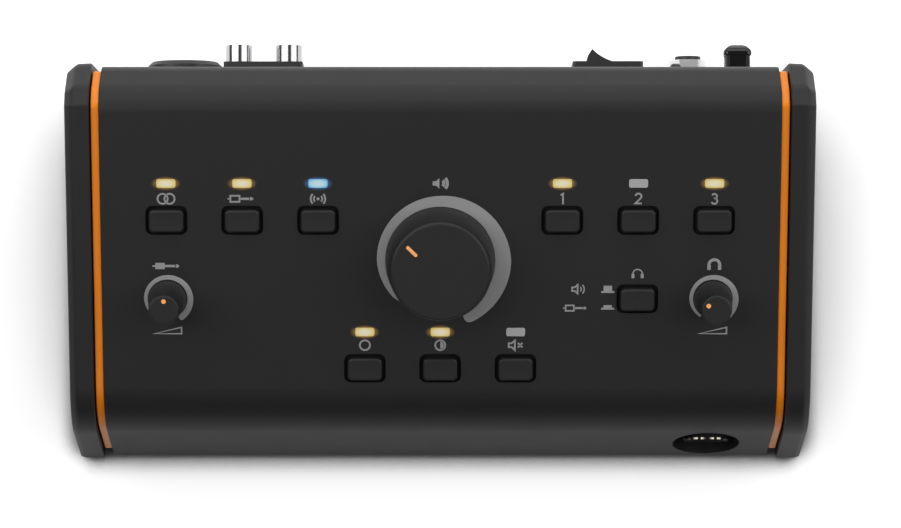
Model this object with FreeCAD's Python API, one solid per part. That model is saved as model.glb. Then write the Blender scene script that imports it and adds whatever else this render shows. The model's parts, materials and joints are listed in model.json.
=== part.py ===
"""Desktop studio monitor controller, as separate solids in millimetres.

X runs to the right, Y to the rear and Z up.  The origin is on the desk, under
the middle of the overall width and depth.  A folded steel body with a sloping
panel stands between two moulded end cheeks, with an orange plate in each gap.
"""
import FreeCAD, Part
import os
from math import atan2, cos, hypot, pi, radians, sin, tan

Vec = FreeCAD.Vector

# ---- body ------------------------------------------------------------------
BODY_W = 206.0            # body between the accent plates
BODY_DEPTH = 118.8        # foot of the front face to the rear panel
WALL = 1.5                # sheet thickness of cover, base and rear panel
FOOT_H = 3.5              # rubber feet lift the body by this much
FRONT_H = 35.7            # height of the corner between front face and panel
FRONT_RAKE = 17.0         # front face leans back from vertical, degrees
PANEL_TILT = 14.5         # panel slopes down to the front, degrees
CREST_RUN = 5.5           # depth of the first facet behind the panel
CREST_FALL = 18.5         # its slope down to the rear, degrees
BACK_RUN = 7.5            # depth of the steep facet behind it
BACK_FALL = 48.0          # its slope, degrees
FRONT_R = 19.3            # roll between front face and panel
CREST_R = 8.0             # rolls between panel and crest, and crest and back
REAR_R = 8.0              # roll between the back facet and the rear panel
TOE_R = 1.5               # bottom corners of the profile
LIP_W = 7.0               # folded lips that take the base and rear screws
REAR_LIP = 2.0            # straight lip below the rear roll
RELIEF = 2.0              # gap between a base lip and a rear lip
SEAM = 0.3                # gap between the folded sheets

# ---- end cheeks and accent plates -------------------------------------------
PLATE_T = 2.5             # orange plate
PLATE_SUNK = 0.9          # plate edge lies below the body's surface
PLATE_TOE = 4.0           # plate stops this far above the body's bottom
PLATE_BACK = 1.6          # plate stops this far short of the rear panel
PLATE_EDGE_R = 1.2        # softened corners of plate and cheek profile
LAND_T = 0.4              # raised land on the cheek, which makes a shadow gap
LAND_INSET = 4.0
CHEEK_T = 7.6
CHEEK_PROUD = 1.0         # cheek profile stands proud of the body all round
CHEEK_CHAMFER = 2.6
CHEEK_POCKET_INSET = 7.0
CHEEK_SKIN = 2.6          # outer skin left by the pocket in the cheek

# ---- panel layout, measured from the middle of the flat panel ----------------
COLUMN_INSET = 20.0       # outermost keys and small knobs, from the side of the body
KEY_PITCH = 23.0
KEY_ROW_U = 9.5           # upper row of keys
LOW_ROW_U = -36.6         # lower row of keys
SMALL_KNOB_U = -14.85
MAIN_KNOB_U = -3.0
LIGHT_RISE = 11.4         # each light window lies this far behind its key

KEY_W, KEY_D = 11.0, 6.8
KEY_MARGIN = 0.95         # gap between a key and its opening
KEY_R = 1.4
KEY_PROUD = 1.6
KEY_EDGE = 0.5
KEY_TRAVEL = 1.0
LATCH_TRAVEL = 1.4
KEY_FLANGE = 0.8          # flange under the panel that keeps the key in
FLANGE_LAP = 0.8
STEM_R = 1.6
SWITCH_W, SWITCH_H = 7.0, 4.6
SWITCH_EDGE_R, SWITCH_FLOOR = 0.6, 0.6
REST_GAP = 0.3            # gap between a key's flange and the sheet at rest
SLIDE_FIT = 0.05          # radial clearance of a sliding or turning fit

LIGHT_W, LIGHT_D, LIGHT_R = 6.2, 2.9, 0.7
LIGHT_PROUD = 0.2
LIGHT_SHOULDER = 0.7
CHIP_W, CHIP_D, CHIP_H, CHIP_EDGE_R = 3.2, 1.6, 0.9, 0.2

# ---- knobs and potentiometers ------------------------------------------------
MAIN_BASE_R, MAIN_TOP_R, MAIN_KNOB_H = 16.75, 15.2, 16.0
SMALL_BASE_R, SMALL_TOP_R, SMALL_KNOB_H = 5.8, 4.6, 15.8
KNOB_LIFT = 0.6           # knob skirt stands off the panel
KNOB_EDGE = 0.5
MAIN_POINTER = 53.5       # pointer of the main knob, degrees to the left of up
AUX_POINTER = 0.0
PHONES_POINTER = 60.0
LINE_IN, LINE_OUT, LINE_W = 8.4, 12.8, 1.1
DOT_R, DOT_AT = 0.75, 2.8
INLAY_DEPTH = 0.4
SHAFT_R = 3.0
SHAFT_IN_KNOB = 10.5
MAIN_BUSH_R, SMALL_BUSH_R = 4.5, 3.6
MAIN_POT_W, MAIN_POT_H = 17.0, 6.5
SMALL_POT_W, SMALL_POT_H = 9.8, 5.0
MAIN_BUSH_RISE, POT_EDGE_R = 3.6, 1.0
POT_NUT_FLATS, POT_NUT_T = 12.0, 2.0
BUSH_HOLE_FIT = 0.2
NUT_ROOM = 0.6            # space round the nut under the main knob

# ---- boards and fasteners -----------------------------------------------------
BOARD_T = 1.6
BOARD_DEPTH = 10.0        # control board's face below the panel's outer face
BOARD_INSET = 9.0   # ends of both boards, from the side of the body
CONTROL_BOARD_REAR_U, CONTROL_BOARD_FRONT_U = 33.0, -44.2
IO_BOARD_LIFT = 4.0       # spacers between base plate and lower board
SPACER_BORE = 6.0
SCREW_R, SCREW_HEAD_R, SCREW_HEAD_H = 1.45, 2.7, 1.6
SCREW_FIT = 0.05
SPACER_R = 2.9
SPACER_REAR_U = 27.0
IO_SPACER_INSET = 15.0
IO_SPACER_FRONT_SET, IO_SPACER_REAR_SET = 6.0, 38.0
FOOT_R, FOOT_TAPER, FOOT_INSET = 6.5, 0.8, 15.0
BASE_SCREW_PITCH = 36.0
CHEEK_SCREW_SPAN = 62.0
CHEEK_SCREW_LOW, CHEEK_SCREW_RISE = 13.0, 15.0
CHEEK_SCREW_LEN = 8.2
CHEEK_BOSS_R = 3.6

# ---- connectors ----------------------------------------------------------------
JACK_BORE_R = 3.25        # takes a 6.35 mm plug
PHONES_HOLE_R = 10.5
PHONES_CUP_WALL = 1.1
PHONES_AXIS_RISE = 6.2    # jack axis above the lower board
PHONES_NUT_R, PHONES_NUT_T, PHONES_NUT_TEETH = 7.3, 3.0, 18
PHONES_NUT_SET = 0.6      # nut face behind the front face, at the axis
PHONES_FLOOR_T = 1.4
PHONES_BODY_W, PHONES_BODY_H, PHONES_BODY_L = 15.0, 12.4, 28.0
PHONES_BUSH_R = 4.5
NOTCH_R = 0.6

REAR_REACH = 9.5          # furthest piece past the rear panel
# insets are from the side of the body, rises are above the lower board
COMBO_INSET, COMBO_RISE = 23.9, 15.4
COMBO_W, COMBO_H, COMBO_FLANGE_T, COMBO_R = 22.8, 30.0, 3.2, 10.4
COMBO_BODY_L, COMBO_CORNER_R, COMBO_BEVEL = 24.0, 10.0, 1.2
CONTACT_HOLE_R, CONTACT_HOLE_AT, CONTACT_HOLE_L = 1.3, 6.8, 10.0
LINE_PITCH_X = 24.0
LINE_LOW_RISE, LINE_STEP = 7.0, 14.0
LINE_BODY_W, LINE_BODY_L, LINE_NOSE_R, LINE_NOSE_PROUD = 15.0, 26.0, 5.8, 0.4
PHONO_INSET, PHONO_RISE, PHONO_PITCH = 47.9, 11.4, 15.5
PHONO_BASE_W, PHONO_BASE_H, PHONO_BASE_PROUD, PHONO_BODY_L = 24.6, 13.0, 3.9, 12.0
SHELL_R, SHELL_T, SHELL_REACH, SHELL_SEAT = 4.15, 0.7, 9.4, 2.0
CENTRE_HOLE_R, CENTRE_T, CONTACT_SET = 1.6, 0.5, 1.4
INSULATOR_SET = 1.0        # insulator ends this far inside the shell
SHELL_STEP = 0.25          # shell narrows by this at its neck, where it enters the block
SWITCH_INSET, SWITCH_HEIGHT = 51.0, 21.5    # height above the body's bottom
SWITCH_FLANGE_W, SWITCH_FLANGE_H, SWITCH_FLANGE_T = 21.8, 15.0, 3.6
SWITCH_BODY_W, SWITCH_BODY_H, SWITCH_BODY_L = 20.2, 12.8, 13.0
CONNECTOR_R = 1.0         # rounded corners of the moulded connector bodies
ROCKER_TILT = 16.7
ROCKER_PIVOT = 4.8        # pivot below the outer face of the flange
ROCKER_END_X, ROCKER_END_H, ROCKER_MID_H = 7.15, 2.35, 0.5
ROCKER_BASE_X, ROCKER_KEEL_X, ROCKER_KEEL = 7.8, 3.0, 6.6
ROCKER_SIDE_X, ROCKER_SIDE = 7.6, 2.0
ROCKER_H = 9.2
TRUNNION_R, TRUNNION_L = 1.2, 0.9
ROCKER_GAP = 0.35
DC_INSET, DC_RISE = 25.6, 10.5
DC_BODY_W, DC_BODY_L, DC_BUSH_R, DC_REACH = 9.6, 13.0, 4.0, 6.0
DC_CAVITY_R, DC_PIN_R, DC_CAVITY_L, DC_PIN_SET = 3.15, 1.0, 10.0, 1.0
DC_NUT_FLATS, DC_NUT_T, DC_WASHER_T, DC_WASHER_LAP = 10.0, 3.6, 1.2, 0.6
CLAMP_INSET, CLAMP_HEIGHT = 10.4, 21.0
CLAMP_W, CLAMP_WAIST_W, CLAMP_BAR_T, CLAMP_BASE_T, CLAMP_H = 8.7, 7.6, 1.0, 1.5, 6.8
CLAMP_BASE_H, CLAMP_BASE_R, CLAMP_HEAD_T, CLAMP_HEAD_R = 12.0, 1.5, 3.5, 1.6
CLAMP_STUD_R, CLAMP_STUD_TAIL = 1.6, 1.0

# ---- loose parts on the boards ---------------------------------------------------
HEADER_W, HEADER_D, HEADER_H = 24.0, 5.0, 5.5
RIBBON_W, RIBBON_T, RIBBON_X, RIBBON_U, RIBBON_LEAD = 20.0, 1.0, 38.0, -20.0, 2.0
CAP_R, CAP_H, CAP_PITCH, CAP_ROW, CAP_EDGE_R = 4.0, 11.0, 13.0, 62.0, 0.6
CAP_COUNT, CAP_START_X = 6, -60.0
RELAY_W, RELAY_D, RELAY_H, RELAY_ROW = 10.0, 15.0, 9.0, 45.0
MODULE_W, MODULE_D, MODULE_H = 15.0, 20.0, 2.6
CHIP_SIDE, CHIP_TALL, CHIP_XS = 7.0, 1.4, (-30.0, 0.0)
MODULE_INSET, PARTS_SET = 23.0, 16.0

# ---- values that follow from the sizes above ---------------------------------------
TILT, RAKE = radians(PANEL_TILT), radians(FRONT_RAKE)
TOE_TURN = tan(RAKE) + 1 / cos(RAKE)
CHEEK_REACH = CHEEK_PROUD * TOE_TURN - (TOE_R + CHEEK_PROUD) * (TOE_TURN - 1)
FRONT_Y = (CHEEK_REACH - BODY_DEPTH - REAR_REACH) / 2
REAR_Y = FRONT_Y + BODY_DEPTH
BASE_Z = FOOT_H
SIDE_X = BODY_W / 2
BASE_TOP = BASE_Z + WALL
IO_TOP = BASE_TOP + IO_BOARD_LIFT + BOARD_T
COLUMN_X = SIDE_X - COLUMN_INSET
BOARD_REACH = SIDE_X - BOARD_INSET
KEY_HOLE_W, KEY_HOLE_D = KEY_W + 2 * KEY_MARGIN, KEY_D + 2 * KEY_MARGIN
INNER_REAR_Y = REAR_Y - WALL
PLANE_TOL = 1e-4
ARC_SHARE = 0.49          # an arc may take this share of the shorter side beside it


# ---- helpers -------------------------------------------------------------------------
def box(x0, x1, y0, y1, z0, z1):
    return Part.makeBox(x1 - x0, y1 - y0, z1 - z0, Vec(x0, y0, z0))


def rod_z(radius, z0, z1, x=0.0, y=0.0):
    return Part.makeCylinder(radius, z1 - z0, Vec(x, y, z0), Vec(0, 0, 1))


def rod_y(radius, y0, y1, x, z):
    return Part.makeCylinder(radius, y1 - y0, Vec(x, y0, z), Vec(0, 1, 0))


def rod_x(radius, x0, x1, y, z):
    return Part.makeCylinder(radius, x1 - x0, Vec(x0, y, z), Vec(1, 0, 0))


def cut(shape, *tools):
    for tool in tools:
        shape = shape.cut(tool)
    return shape


def fuse(first, *others):
    return first.multiFuse(list(others)).removeSplitter() if others else first


def group(shapes):
    return Part.makeCompound(list(shapes))


def slab(width, depth, radius, z0, z1, x=0.0, y=0.0):
    """Block with rounded upright corners."""
    half_w, half_d = width / 2, depth / 2
    radius = min(radius, ARC_SHARE * min(width, depth))
    corners = [(-half_w, -half_d), (-half_w, half_d), (half_w, half_d), (half_w, -half_d)]
    wire = rounded_wire(corners, [radius] * 4, lambda a, b: Vec(x + a, y + b, z0))
    return Part.Face(wire).extrude(Vec(0, 0, z1 - z0))


def rear_slab(width, height, radius, y0, y1, x, z):
    """Block with rounded corners whose outline faces the rear."""
    half_w, half_h = width / 2, height / 2
    corners = [(-half_w, -half_h), (-half_w, half_h), (half_w, half_h), (half_w, -half_h)]
    wire = rounded_wire(corners, [radius] * 4, lambda a, b: Vec(x + a, y0, z + b))
    return Part.Face(wire).extrude(Vec(0, y1 - y0, 0))


def rounded_wire(points, radii, place):
    """Closed wire through points with a tangent arc of the given radius at each corner."""
    count = len(points)
    starts, mids, ends = [], [], []
    for i, (corner, radius) in enumerate(zip(points, radii)):
        back, ahead = points[i - 1], points[(i + 1) % count]
        a = (back[0] - corner[0], back[1] - corner[1])
        b = (ahead[0] - corner[0], ahead[1] - corner[1])
        len_a, len_b = hypot(*a), hypot(*b)
        a = (a[0] / len_a, a[1] / len_a)
        b = (b[0] / len_b, b[1] / len_b)
        middle = (a[0] + b[0], a[1] + b[1])
        size = hypot(*middle)
        middle = (middle[0] / size, middle[1] / size)
        half = atan2(abs(a[0] * b[1] - a[1] * b[0]), a[0] * b[0] + a[1] * b[1]) / 2
        reach = min(radius / tan(half), ARC_SHARE * min(len_a, len_b))
        radius = reach * tan(half)
        dip = radius / sin(half) - radius
        starts.append((corner[0] + a[0] * reach, corner[1] + a[1] * reach))
        mids.append((corner[0] + middle[0] * dip, corner[1] + middle[1] * dip))
        ends.append((corner[0] + b[0] * reach, corner[1] + b[1] * reach))
    edges = []
    for i in range(count):
        edges.append(Part.Arc(place(*starts[i]), place(*mids[i]), place(*ends[i])).toShape())
        edges.append(Part.LineSegment(place(*ends[i]), place(*starts[(i + 1) % count])).toShape())
    return Part.Wire(edges)


# ---- side profile ------------------------------------------------------------------------
def profile_corners():
    """Corners of the body's side profile, from the front foot over the top to the rear foot."""
    front = (FRONT_Y + FRONT_H * tan(RAKE), BASE_Z + FRONT_H)
    crest_y = REAR_Y - CREST_RUN - BACK_RUN
    crest = (crest_y, front[1] + (crest_y - front[0]) * tan(TILT))
    back = (crest[0] + CREST_RUN, crest[1] - CREST_RUN * tan(radians(CREST_FALL)))
    rear = (REAR_Y, back[1] - BACK_RUN * tan(radians(BACK_FALL)))
    return [(FRONT_Y, BASE_Z), front, crest, back, rear, (REAR_Y, BASE_Z)]


CORNERS = profile_corners()
BODY_RADII = [TOE_R, FRONT_R, CREST_R, CREST_R, REAR_R, TOE_R]


def outline(x, grow, radii):
    """Side profile as a wire at X = x; grow moves front, panel, crest, back, rear and base out."""
    count = len(CORNERS)
    lines = []
    for i in range(count):
        (y0, z0), (y1, z1) = CORNERS[i], CORNERS[(i + 1) % count]
        length = hypot(y1 - y0, z1 - z0)
        along = ((y1 - y0) / length, (z1 - z0) / length)
        lines.append(((y0 - along[1] * grow[i], z0 + along[0] * grow[i]), along))
    points = []
    for i in range(count):
        (p, d), (q, e) = lines[i - 1], lines[i]
        step = ((q[0] - p[0]) * e[1] - (q[1] - p[1]) * e[0]) / (d[0] * e[1] - d[1] * e[0])
        points.append((p[0] + d[0] * step, p[1] + d[1] * step))
    return rounded_wire(points, radii, lambda y, z: Vec(x, y, z))


def profile_block(x0, x1, grow, radii):
    return Part.Face(outline(x0, grow, radii)).extrude(Vec(x1 - x0, 0, 0))


def front_y(z, inset=0.0):
    """Y of the front face at height z, or of a surface that lies inset behind it."""
    return FRONT_Y + (z - BASE_Z) * tan(RAKE) + inset / cos(RAKE)


def panel_origin():
    """Middle of the flat stretch of the panel."""
    front, crest = CORNERS[1], CORNERS[2]
    length = hypot(crest[0] - front[0], crest[1] - front[1])
    front_reach = FRONT_R * tan((pi / 2 - RAKE - TILT) / 2)
    crest_reach = CREST_R * tan((TILT + radians(CREST_FALL)) / 2)
    along = (length + front_reach - crest_reach) / 2
    return Vec(0, front[0] + along * cos(TILT), front[1] + along * sin(TILT))


PANEL = FreeCAD.Placement(panel_origin(), FreeCAD.Rotation(Vec(1, 0, 0), PANEL_TILT))


def on_panel(shape):
    """Seat a shape that is drawn with X right, Y up the slope and Z out of the panel."""
    seated = shape.copy()
    seated.Placement = PANEL.multiply(seated.Placement)
    return seated


def mirrored(shape):
    return shape.mirror(Vec(0, 0, 0), Vec(1, 0, 0))


def both_sides(shape):
    return [shape, mirrored(shape)]


def rounded_top(shape, z, radius):
    """Round the edges that lie in the plane Z = z."""
    edges = [e for e in shape.Edges if all(abs(v.Z - z) < PLANE_TOL for v in e.Vertexes)]
    return shape.makeFillet(radius, edges)


def hexagon(flats, z0, z1):
    """Upright hexagonal prism on the Z axis, flats apart across its flats."""
    corner = flats / 2 / cos(pi / 6)
    ring = [Vec(corner * cos(k * pi / 3), corner * sin(k * pi / 3), z0) for k in range(7)]
    return Part.Face(Part.makePolygon(ring)).extrude(Vec(0, 0, z1 - z0))


def facing_rear(shape, x, y, z):
    """Turn a shape drawn about the Z axis so that its Z points to the rear, at a place."""
    turned = shape.copy()
    turn = FreeCAD.Rotation(Vec(1, 0, 0), -90)
    turned.Placement = FreeCAD.Placement(Vec(x, y, z), turn).multiply(turned.Placement)
    return turned


# ---- where things sit ------------------------------------------------------------------------
def key_places():
    """Name, X, U and travel of every key."""
    inner, outer = COLUMN_X - 2 * KEY_PITCH, COLUMN_X
    middle = COLUMN_X - KEY_PITCH
    upper = {"stereo_key": -outer, "aux_key": -middle, "pair_key": -inner,
             "output_1_key": inner, "output_2_key": middle, "output_3_key": outer}
    lower = {"mono_key": -KEY_PITCH, "dim_key": 0.0, "mute_key": KEY_PITCH}
    places = [(name, x, KEY_ROW_U, KEY_TRAVEL) for name, x in upper.items()]
    places += [(name, x, LOW_ROW_U, KEY_TRAVEL) for name, x in lower.items()]
    return places + [("listen_key", middle, SMALL_KNOB_U, LATCH_TRAVEL)]


KEYS = key_places()
BLUE_LIT, UNLIT = ("pair_key",), ("output_2_key", "mute_key")
LIGHTS = {name: (x, u + LIGHT_RISE) for name, x, u, travel in KEYS if name != "listen_key"}
SMALL_KNOBS = {"aux": (-COLUMN_X, AUX_POINTER), "phones": (COLUMN_X, PHONES_POINTER)}
SPACER_AXIS_X = COLUMN_X - KEY_PITCH / 2
PANEL_SPACERS = [(-SPACER_AXIS_X, SPACER_REAR_U), (0.0, SPACER_REAR_U),
                 (SPACER_AXIS_X, SPACER_REAR_U),
                 (-SPACER_AXIS_X, LOW_ROW_U), (SPACER_AXIS_X, LOW_ROW_U)]
PHONES_Z = IO_TOP + PHONES_AXIS_RISE
PHONES_FACE_Y = front_y(PHONES_Z)
NUT_Y = PHONES_FACE_Y + PHONES_NUT_SET
CUP_FLOOR_Y = NUT_Y + PHONES_NUT_T
CUP_BACK_Y = CUP_FLOOR_Y + PHONES_FLOOR_T
IO_FRONT_Y = CUP_BACK_Y + SEAM
IO_REAR_Y = INNER_REAR_Y - SEAM
IO_SPACER_X, IO_SPACER_FRONT_X = SIDE_X - IO_SPACER_INSET, COLUMN_X - KEY_PITCH
IO_SPACERS = [(side * x, y) for x, y in ((IO_SPACER_FRONT_X, IO_FRONT_Y + IO_SPACER_FRONT_SET),
                                         (IO_SPACER_X, IO_REAR_Y - IO_SPACER_REAR_SET))
              for side in (-1, 1)]
LIP_Z = CORNERS[4][1] - REAR_R * tan(radians(90 - BACK_FALL) / 2) - REAR_LIP
BODY_MID_Y = (FRONT_Y + REAR_Y) / 2
CHEEK_SCREWS = [(BODY_MID_Y + side * CHEEK_SCREW_SPAN / 2, BASE_Z + CHEEK_SCREW_LOW + rise)
                for side in (-1, 1) for rise in (0.0, CHEEK_SCREW_RISE)]
LIP_X = SIDE_X - WALL - LIP_W / 2
BASE_SCREW_YS = [BODY_MID_Y + k * BASE_SCREW_PITCH for k in (-1, 0, 1)]
REAR_SCREW_ZS = [BASE_TOP + WALL + RELIEF + SCREW_HEAD_R, LIP_Z - 2 * SCREW_HEAD_R]
COMBO_X, PHONO_X = COMBO_INSET - SIDE_X, PHONO_INSET - SIDE_X
SWITCH_X, DC_X, CLAMP_X = SIDE_X - SWITCH_INSET, SIDE_X - DC_INSET, SIDE_X - CLAMP_INSET
LINE_XS = [-LINE_PITCH_X, 0.0, LINE_PITCH_X]
LINE_ZS = [IO_TOP + LINE_LOW_RISE, IO_TOP + LINE_LOW_RISE + LINE_STEP]
PHONO_XS = [PHONO_X - PHONO_PITCH / 2, PHONO_X + PHONO_PITCH / 2]
PHONO_Z, COMBO_Z, DC_Z = IO_TOP + PHONO_RISE, IO_TOP + COMBO_RISE, IO_TOP + DC_RISE
SWITCH_Z, CLAMP_Z = BASE_Z + SWITCH_HEIGHT, BASE_Z + CLAMP_HEIGHT
SWITCH_FACE_Y = REAR_Y + SWITCH_FLANGE_T
PIVOT_Y = SWITCH_FACE_Y - ROCKER_PIVOT


# ---- casing ------------------------------------------------------------------------------------
def top_cover():
    """Folded steel cover: front face, panel, crest, rear roll and side walls with lips."""
    shell = profile_block(-SIDE_X, SIDE_X, [0] * 6, BODY_RADII)
    inner_radii = [SEAM] + [max(r - WALL, SEAM) for r in BODY_RADII[1:5]] + [SEAM]
    hollow = profile_block(-SIDE_X + WALL, SIDE_X - WALL, [-WALL] * 5 + [WALL], inner_radii)
    inside = SIDE_X - WALL
    rear_gap = box(-inside, inside, INNER_REAR_Y - WALL, REAR_Y + WALL, BASE_Z - WALL, LIP_Z)
    shell = cut(shell, hollow, rear_gap)
    lips = []
    lip_front = front_y(BASE_TOP + WALL, WALL) + SEAM
    base_lip = box(inside - LIP_W, inside, lip_front, INNER_REAR_Y - WALL - RELIEF,
                   BASE_TOP, BASE_TOP + WALL)
    rear_lip = box(inside - LIP_W, inside, INNER_REAR_Y - WALL, INNER_REAR_Y,
                   BASE_TOP + WALL + RELIEF, LIP_Z - SEAM)
    for lip in (base_lip, rear_lip):
        lips += both_sides(lip)
    shell = fuse(shell, *lips)
    return cut(shell, *panel_holes(), *case_holes())


def panel_holes():
    """Openings in the panel for keys, light windows and potentiometers."""
    low, high = -2 * WALL, WALL
    holes = [slab(KEY_HOLE_W, KEY_HOLE_D, KEY_R + KEY_MARGIN / 2, low, high, x, u)
             for name, x, u, travel in KEYS]
    light_w, light_d = LIGHT_W + 2 * SLIDE_FIT, LIGHT_D + 2 * SLIDE_FIT
    holes += [slab(light_w, light_d, LIGHT_R, low, high, x, u) for x, u in LIGHTS.values()]
    holes.append(rod_z(MAIN_BUSH_R + BUSH_HOLE_FIT, low, high, 0, MAIN_KNOB_U))
    holes += [rod_z(SMALL_BUSH_R + BUSH_HOLE_FIT, low, high, x, SMALL_KNOB_U)
              for x, pointer in SMALL_KNOBS.values()]
    return [on_panel(hole) for hole in holes]


def case_holes():
    """Headphone opening in the front face and the screw holes in side walls and lips."""
    hole_r = SCREW_R + SCREW_FIT
    holes = [rod_y(PHONES_HOLE_R, FRONT_Y - WALL, CUP_BACK_Y, COLUMN_X, PHONES_Z)]
    for y, z in CHEEK_SCREWS:
        holes += both_sides(rod_x(hole_r, SIDE_X - 2 * WALL, SIDE_X + WALL, y, z))
    for y in BASE_SCREW_YS:
        holes += both_sides(rod_z(hole_r, BASE_Z, BASE_TOP + 2 * WALL, LIP_X, y))
    for z in REAR_SCREW_ZS:
        holes += both_sides(rod_y(hole_r, INNER_REAR_Y - 2 * WALL, REAR_Y, LIP_X, z))
    return holes


def base_plate():
    reach = SIDE_X - WALL - SEAM
    front = front_y(BASE_TOP, WALL) + SEAM
    plate = box(-reach, reach, front, INNER_REAR_Y - SEAM, BASE_Z, BASE_TOP)
    hole_r = SCREW_R + SCREW_FIT
    for y in BASE_SCREW_YS:
        plate = cut(plate, *both_sides(rod_z(hole_r, 0, 2 * BASE_TOP, LIP_X, y)))
    return plate


def rear_panel():
    """Steel plate with the connector holes."""
    reach = SIDE_X - WALL - SEAM
    plate = box(-reach, reach, INNER_REAR_Y, REAR_Y, BASE_Z, LIP_Z - SEAM)
    y0, y1 = INNER_REAR_Y - WALL, REAR_Y + WALL
    holes = [rod_y(COMBO_R + SLIDE_FIT, y0, y1, COMBO_X, COMBO_Z),
             rod_y(DC_BUSH_R + SLIDE_FIT, y0, y1, DC_X, DC_Z),
             rod_y(CLAMP_STUD_R + SLIDE_FIT, y0, y1, CLAMP_X, CLAMP_Z)]
    holes += [rod_y(LINE_NOSE_R + SLIDE_FIT, y0, y1, x, z) for x in LINE_XS for z in LINE_ZS]
    fit = 2 * SLIDE_FIT
    holes.append(rear_slab(PHONO_BASE_W + fit, PHONO_BASE_H + fit, CONNECTOR_R, y0, y1,
                           PHONO_X, PHONO_Z))
    holes.append(rear_slab(SWITCH_BODY_W + fit, SWITCH_BODY_H + fit, CONNECTOR_R, y0, y1,
                           SWITCH_X, SWITCH_Z))
    for z in REAR_SCREW_ZS:
        holes += both_sides(rod_y(SCREW_R + SCREW_FIT, y0, y1, LIP_X, z))
    return cut(plate, *holes)


def right_cheek():
    """Moulded end cheek with a chamfered outer edge, a pocket and four screw bosses."""
    land_x = SIDE_X + PLATE_T
    inner_x = land_x + LAND_T
    outer_x = inner_x + CHEEK_T
    chamfer_x = outer_x - CHEEK_CHAMFER
    radii = [TOE_R + CHEEK_PROUD, FRONT_R + CHEEK_PROUD] + [PLATE_EDGE_R] * 4
    cap_radii = [max(r - CHEEK_CHAMFER, SEAM) for r in radii]
    slab_part = profile_block(inner_x, chamfer_x, [CHEEK_PROUD] * 6, radii)
    rims = [outline(chamfer_x, [CHEEK_PROUD] * 6, radii),
            outline(outer_x, [CHEEK_PROUD - CHEEK_CHAMFER] * 6, cap_radii)]
    bevel = Part.makeLoft(rims, True, True)
    land = profile_block(land_x, inner_x, [-LAND_INSET] * 6, radii)
    pocket = profile_block(land_x, outer_x - CHEEK_SKIN, [-CHEEK_POCKET_INSET] * 6, radii)
    cheek = cut(fuse(slab_part, bevel, land), pocket)
    bosses = [rod_x(CHEEK_BOSS_R, land_x, outer_x - CHEEK_SKIN, y, z) for y, z in CHEEK_SCREWS]
    tip = SIDE_X - WALL + CHEEK_SCREW_LEN + SEAM
    bores = [rod_x(SCREW_R + SCREW_FIT, land_x, tip, y, z) for y, z in CHEEK_SCREWS]
    return cut(fuse(cheek, *bosses), *bores)


def right_accent_plate():
    grow = [-PLATE_SUNK] * 4 + [-PLATE_BACK, -PLATE_TOE]
    radii = [PLATE_EDGE_R, FRONT_R - PLATE_SUNK] + [PLATE_EDGE_R] * 4
    plate = profile_block(SIDE_X, SIDE_X + PLATE_T, grow, radii)
    holes = [rod_x(SCREW_R + SCREW_FIT, SIDE_X, SIDE_X + PLATE_T, y, z)
             for y, z in CHEEK_SCREWS]
    return cut(plate, *holes)


def feet():
    """Four rubber feet, slightly wider at the top."""
    x = SIDE_X - FOOT_INSET
    ys = (FRONT_Y + FOOT_INSET, REAR_Y - FOOT_INSET)
    foot = [Part.makeCone(FOOT_R - FOOT_TAPER, FOOT_R, FOOT_H, Vec(x, y, 0)) for y in ys]
    return group(foot + [mirrored(f) for f in foot])


def screw(length):
    """Pan-head screw on the Z axis: head above Z = 0, shank below."""
    head = rounded_top(rod_z(SCREW_HEAD_R, 0, SCREW_HEAD_H), SCREW_HEAD_H, SCREW_HEAD_H / 2)
    return fuse(head, rod_z(SCREW_R, -length, 0))


def place_along(shape, direction, x, y, z):
    """Turn a shape's Z axis to a direction and move it to a place."""
    moved = shape.copy()
    turn = FreeCAD.Rotation(Vec(0, 0, 1), direction)
    moved.Placement = FreeCAD.Placement(Vec(x, y, z), turn).multiply(moved.Placement)
    return moved


def cheek_screws():
    one = screw(CHEEK_SCREW_LEN)
    inside = SIDE_X - WALL
    shapes = []
    for y, z in CHEEK_SCREWS:
        shapes += both_sides(place_along(one, Vec(-1, 0, 0), inside, y, z))
    return group(shapes)


def case_screws():
    """Screws up through the base plate and forward through the rear panel, into the lips."""
    one = screw(3 * WALL)
    shapes = []
    for y in BASE_SCREW_YS:
        shapes += both_sides(place_along(one, Vec(0, 0, -1), LIP_X, y, BASE_Z))
    for z in REAR_SCREW_ZS:
        shapes += both_sides(place_along(one, Vec(0, 1, 0), LIP_X, REAR_Y, z))
    return group(shapes)


# ---- boards ---------------------------------------------------------------------------------------
def control_board():
    """Board under the panel, parallel to it."""
    board = box(-BOARD_REACH, BOARD_REACH, CONTROL_BOARD_FRONT_U, CONTROL_BOARD_REAR_U,
                -BOARD_DEPTH - BOARD_T, -BOARD_DEPTH)
    holes = [rod_z(SCREW_R + SCREW_FIT, -BOARD_DEPTH - 2 * BOARD_T, 0, x, u)
             for x, u in PANEL_SPACERS]
    return on_panel(cut(board, *holes))


def lower_board():
    """Board above the base plate, which carries the connectors."""
    board = box(-BOARD_REACH, BOARD_REACH, IO_FRONT_Y, IO_REAR_Y, IO_TOP - BOARD_T, IO_TOP)
    holes = [rod_z(SCREW_R + SCREW_FIT, 0, 2 * IO_TOP, x, y) for x, y in IO_SPACERS]
    return cut(board, *holes)


def board_spacers():
    bore_r = SCREW_R + SCREW_FIT
    shapes = []
    for x, u in PANEL_SPACERS:
        post = rod_z(SPACER_R, -BOARD_DEPTH, -WALL, x, u)
        bore = rod_z(bore_r, -BOARD_DEPTH, -BOARD_DEPTH + SPACER_BORE, x, u)
        shapes.append(on_panel(cut(post, bore)))
    for x, y in IO_SPACERS:
        post = rod_z(SPACER_R, BASE_TOP, IO_TOP - BOARD_T, x, y)
        shapes.append(cut(post, rod_z(bore_r, BASE_TOP, IO_TOP, x, y)))
    return group(shapes)


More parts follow.
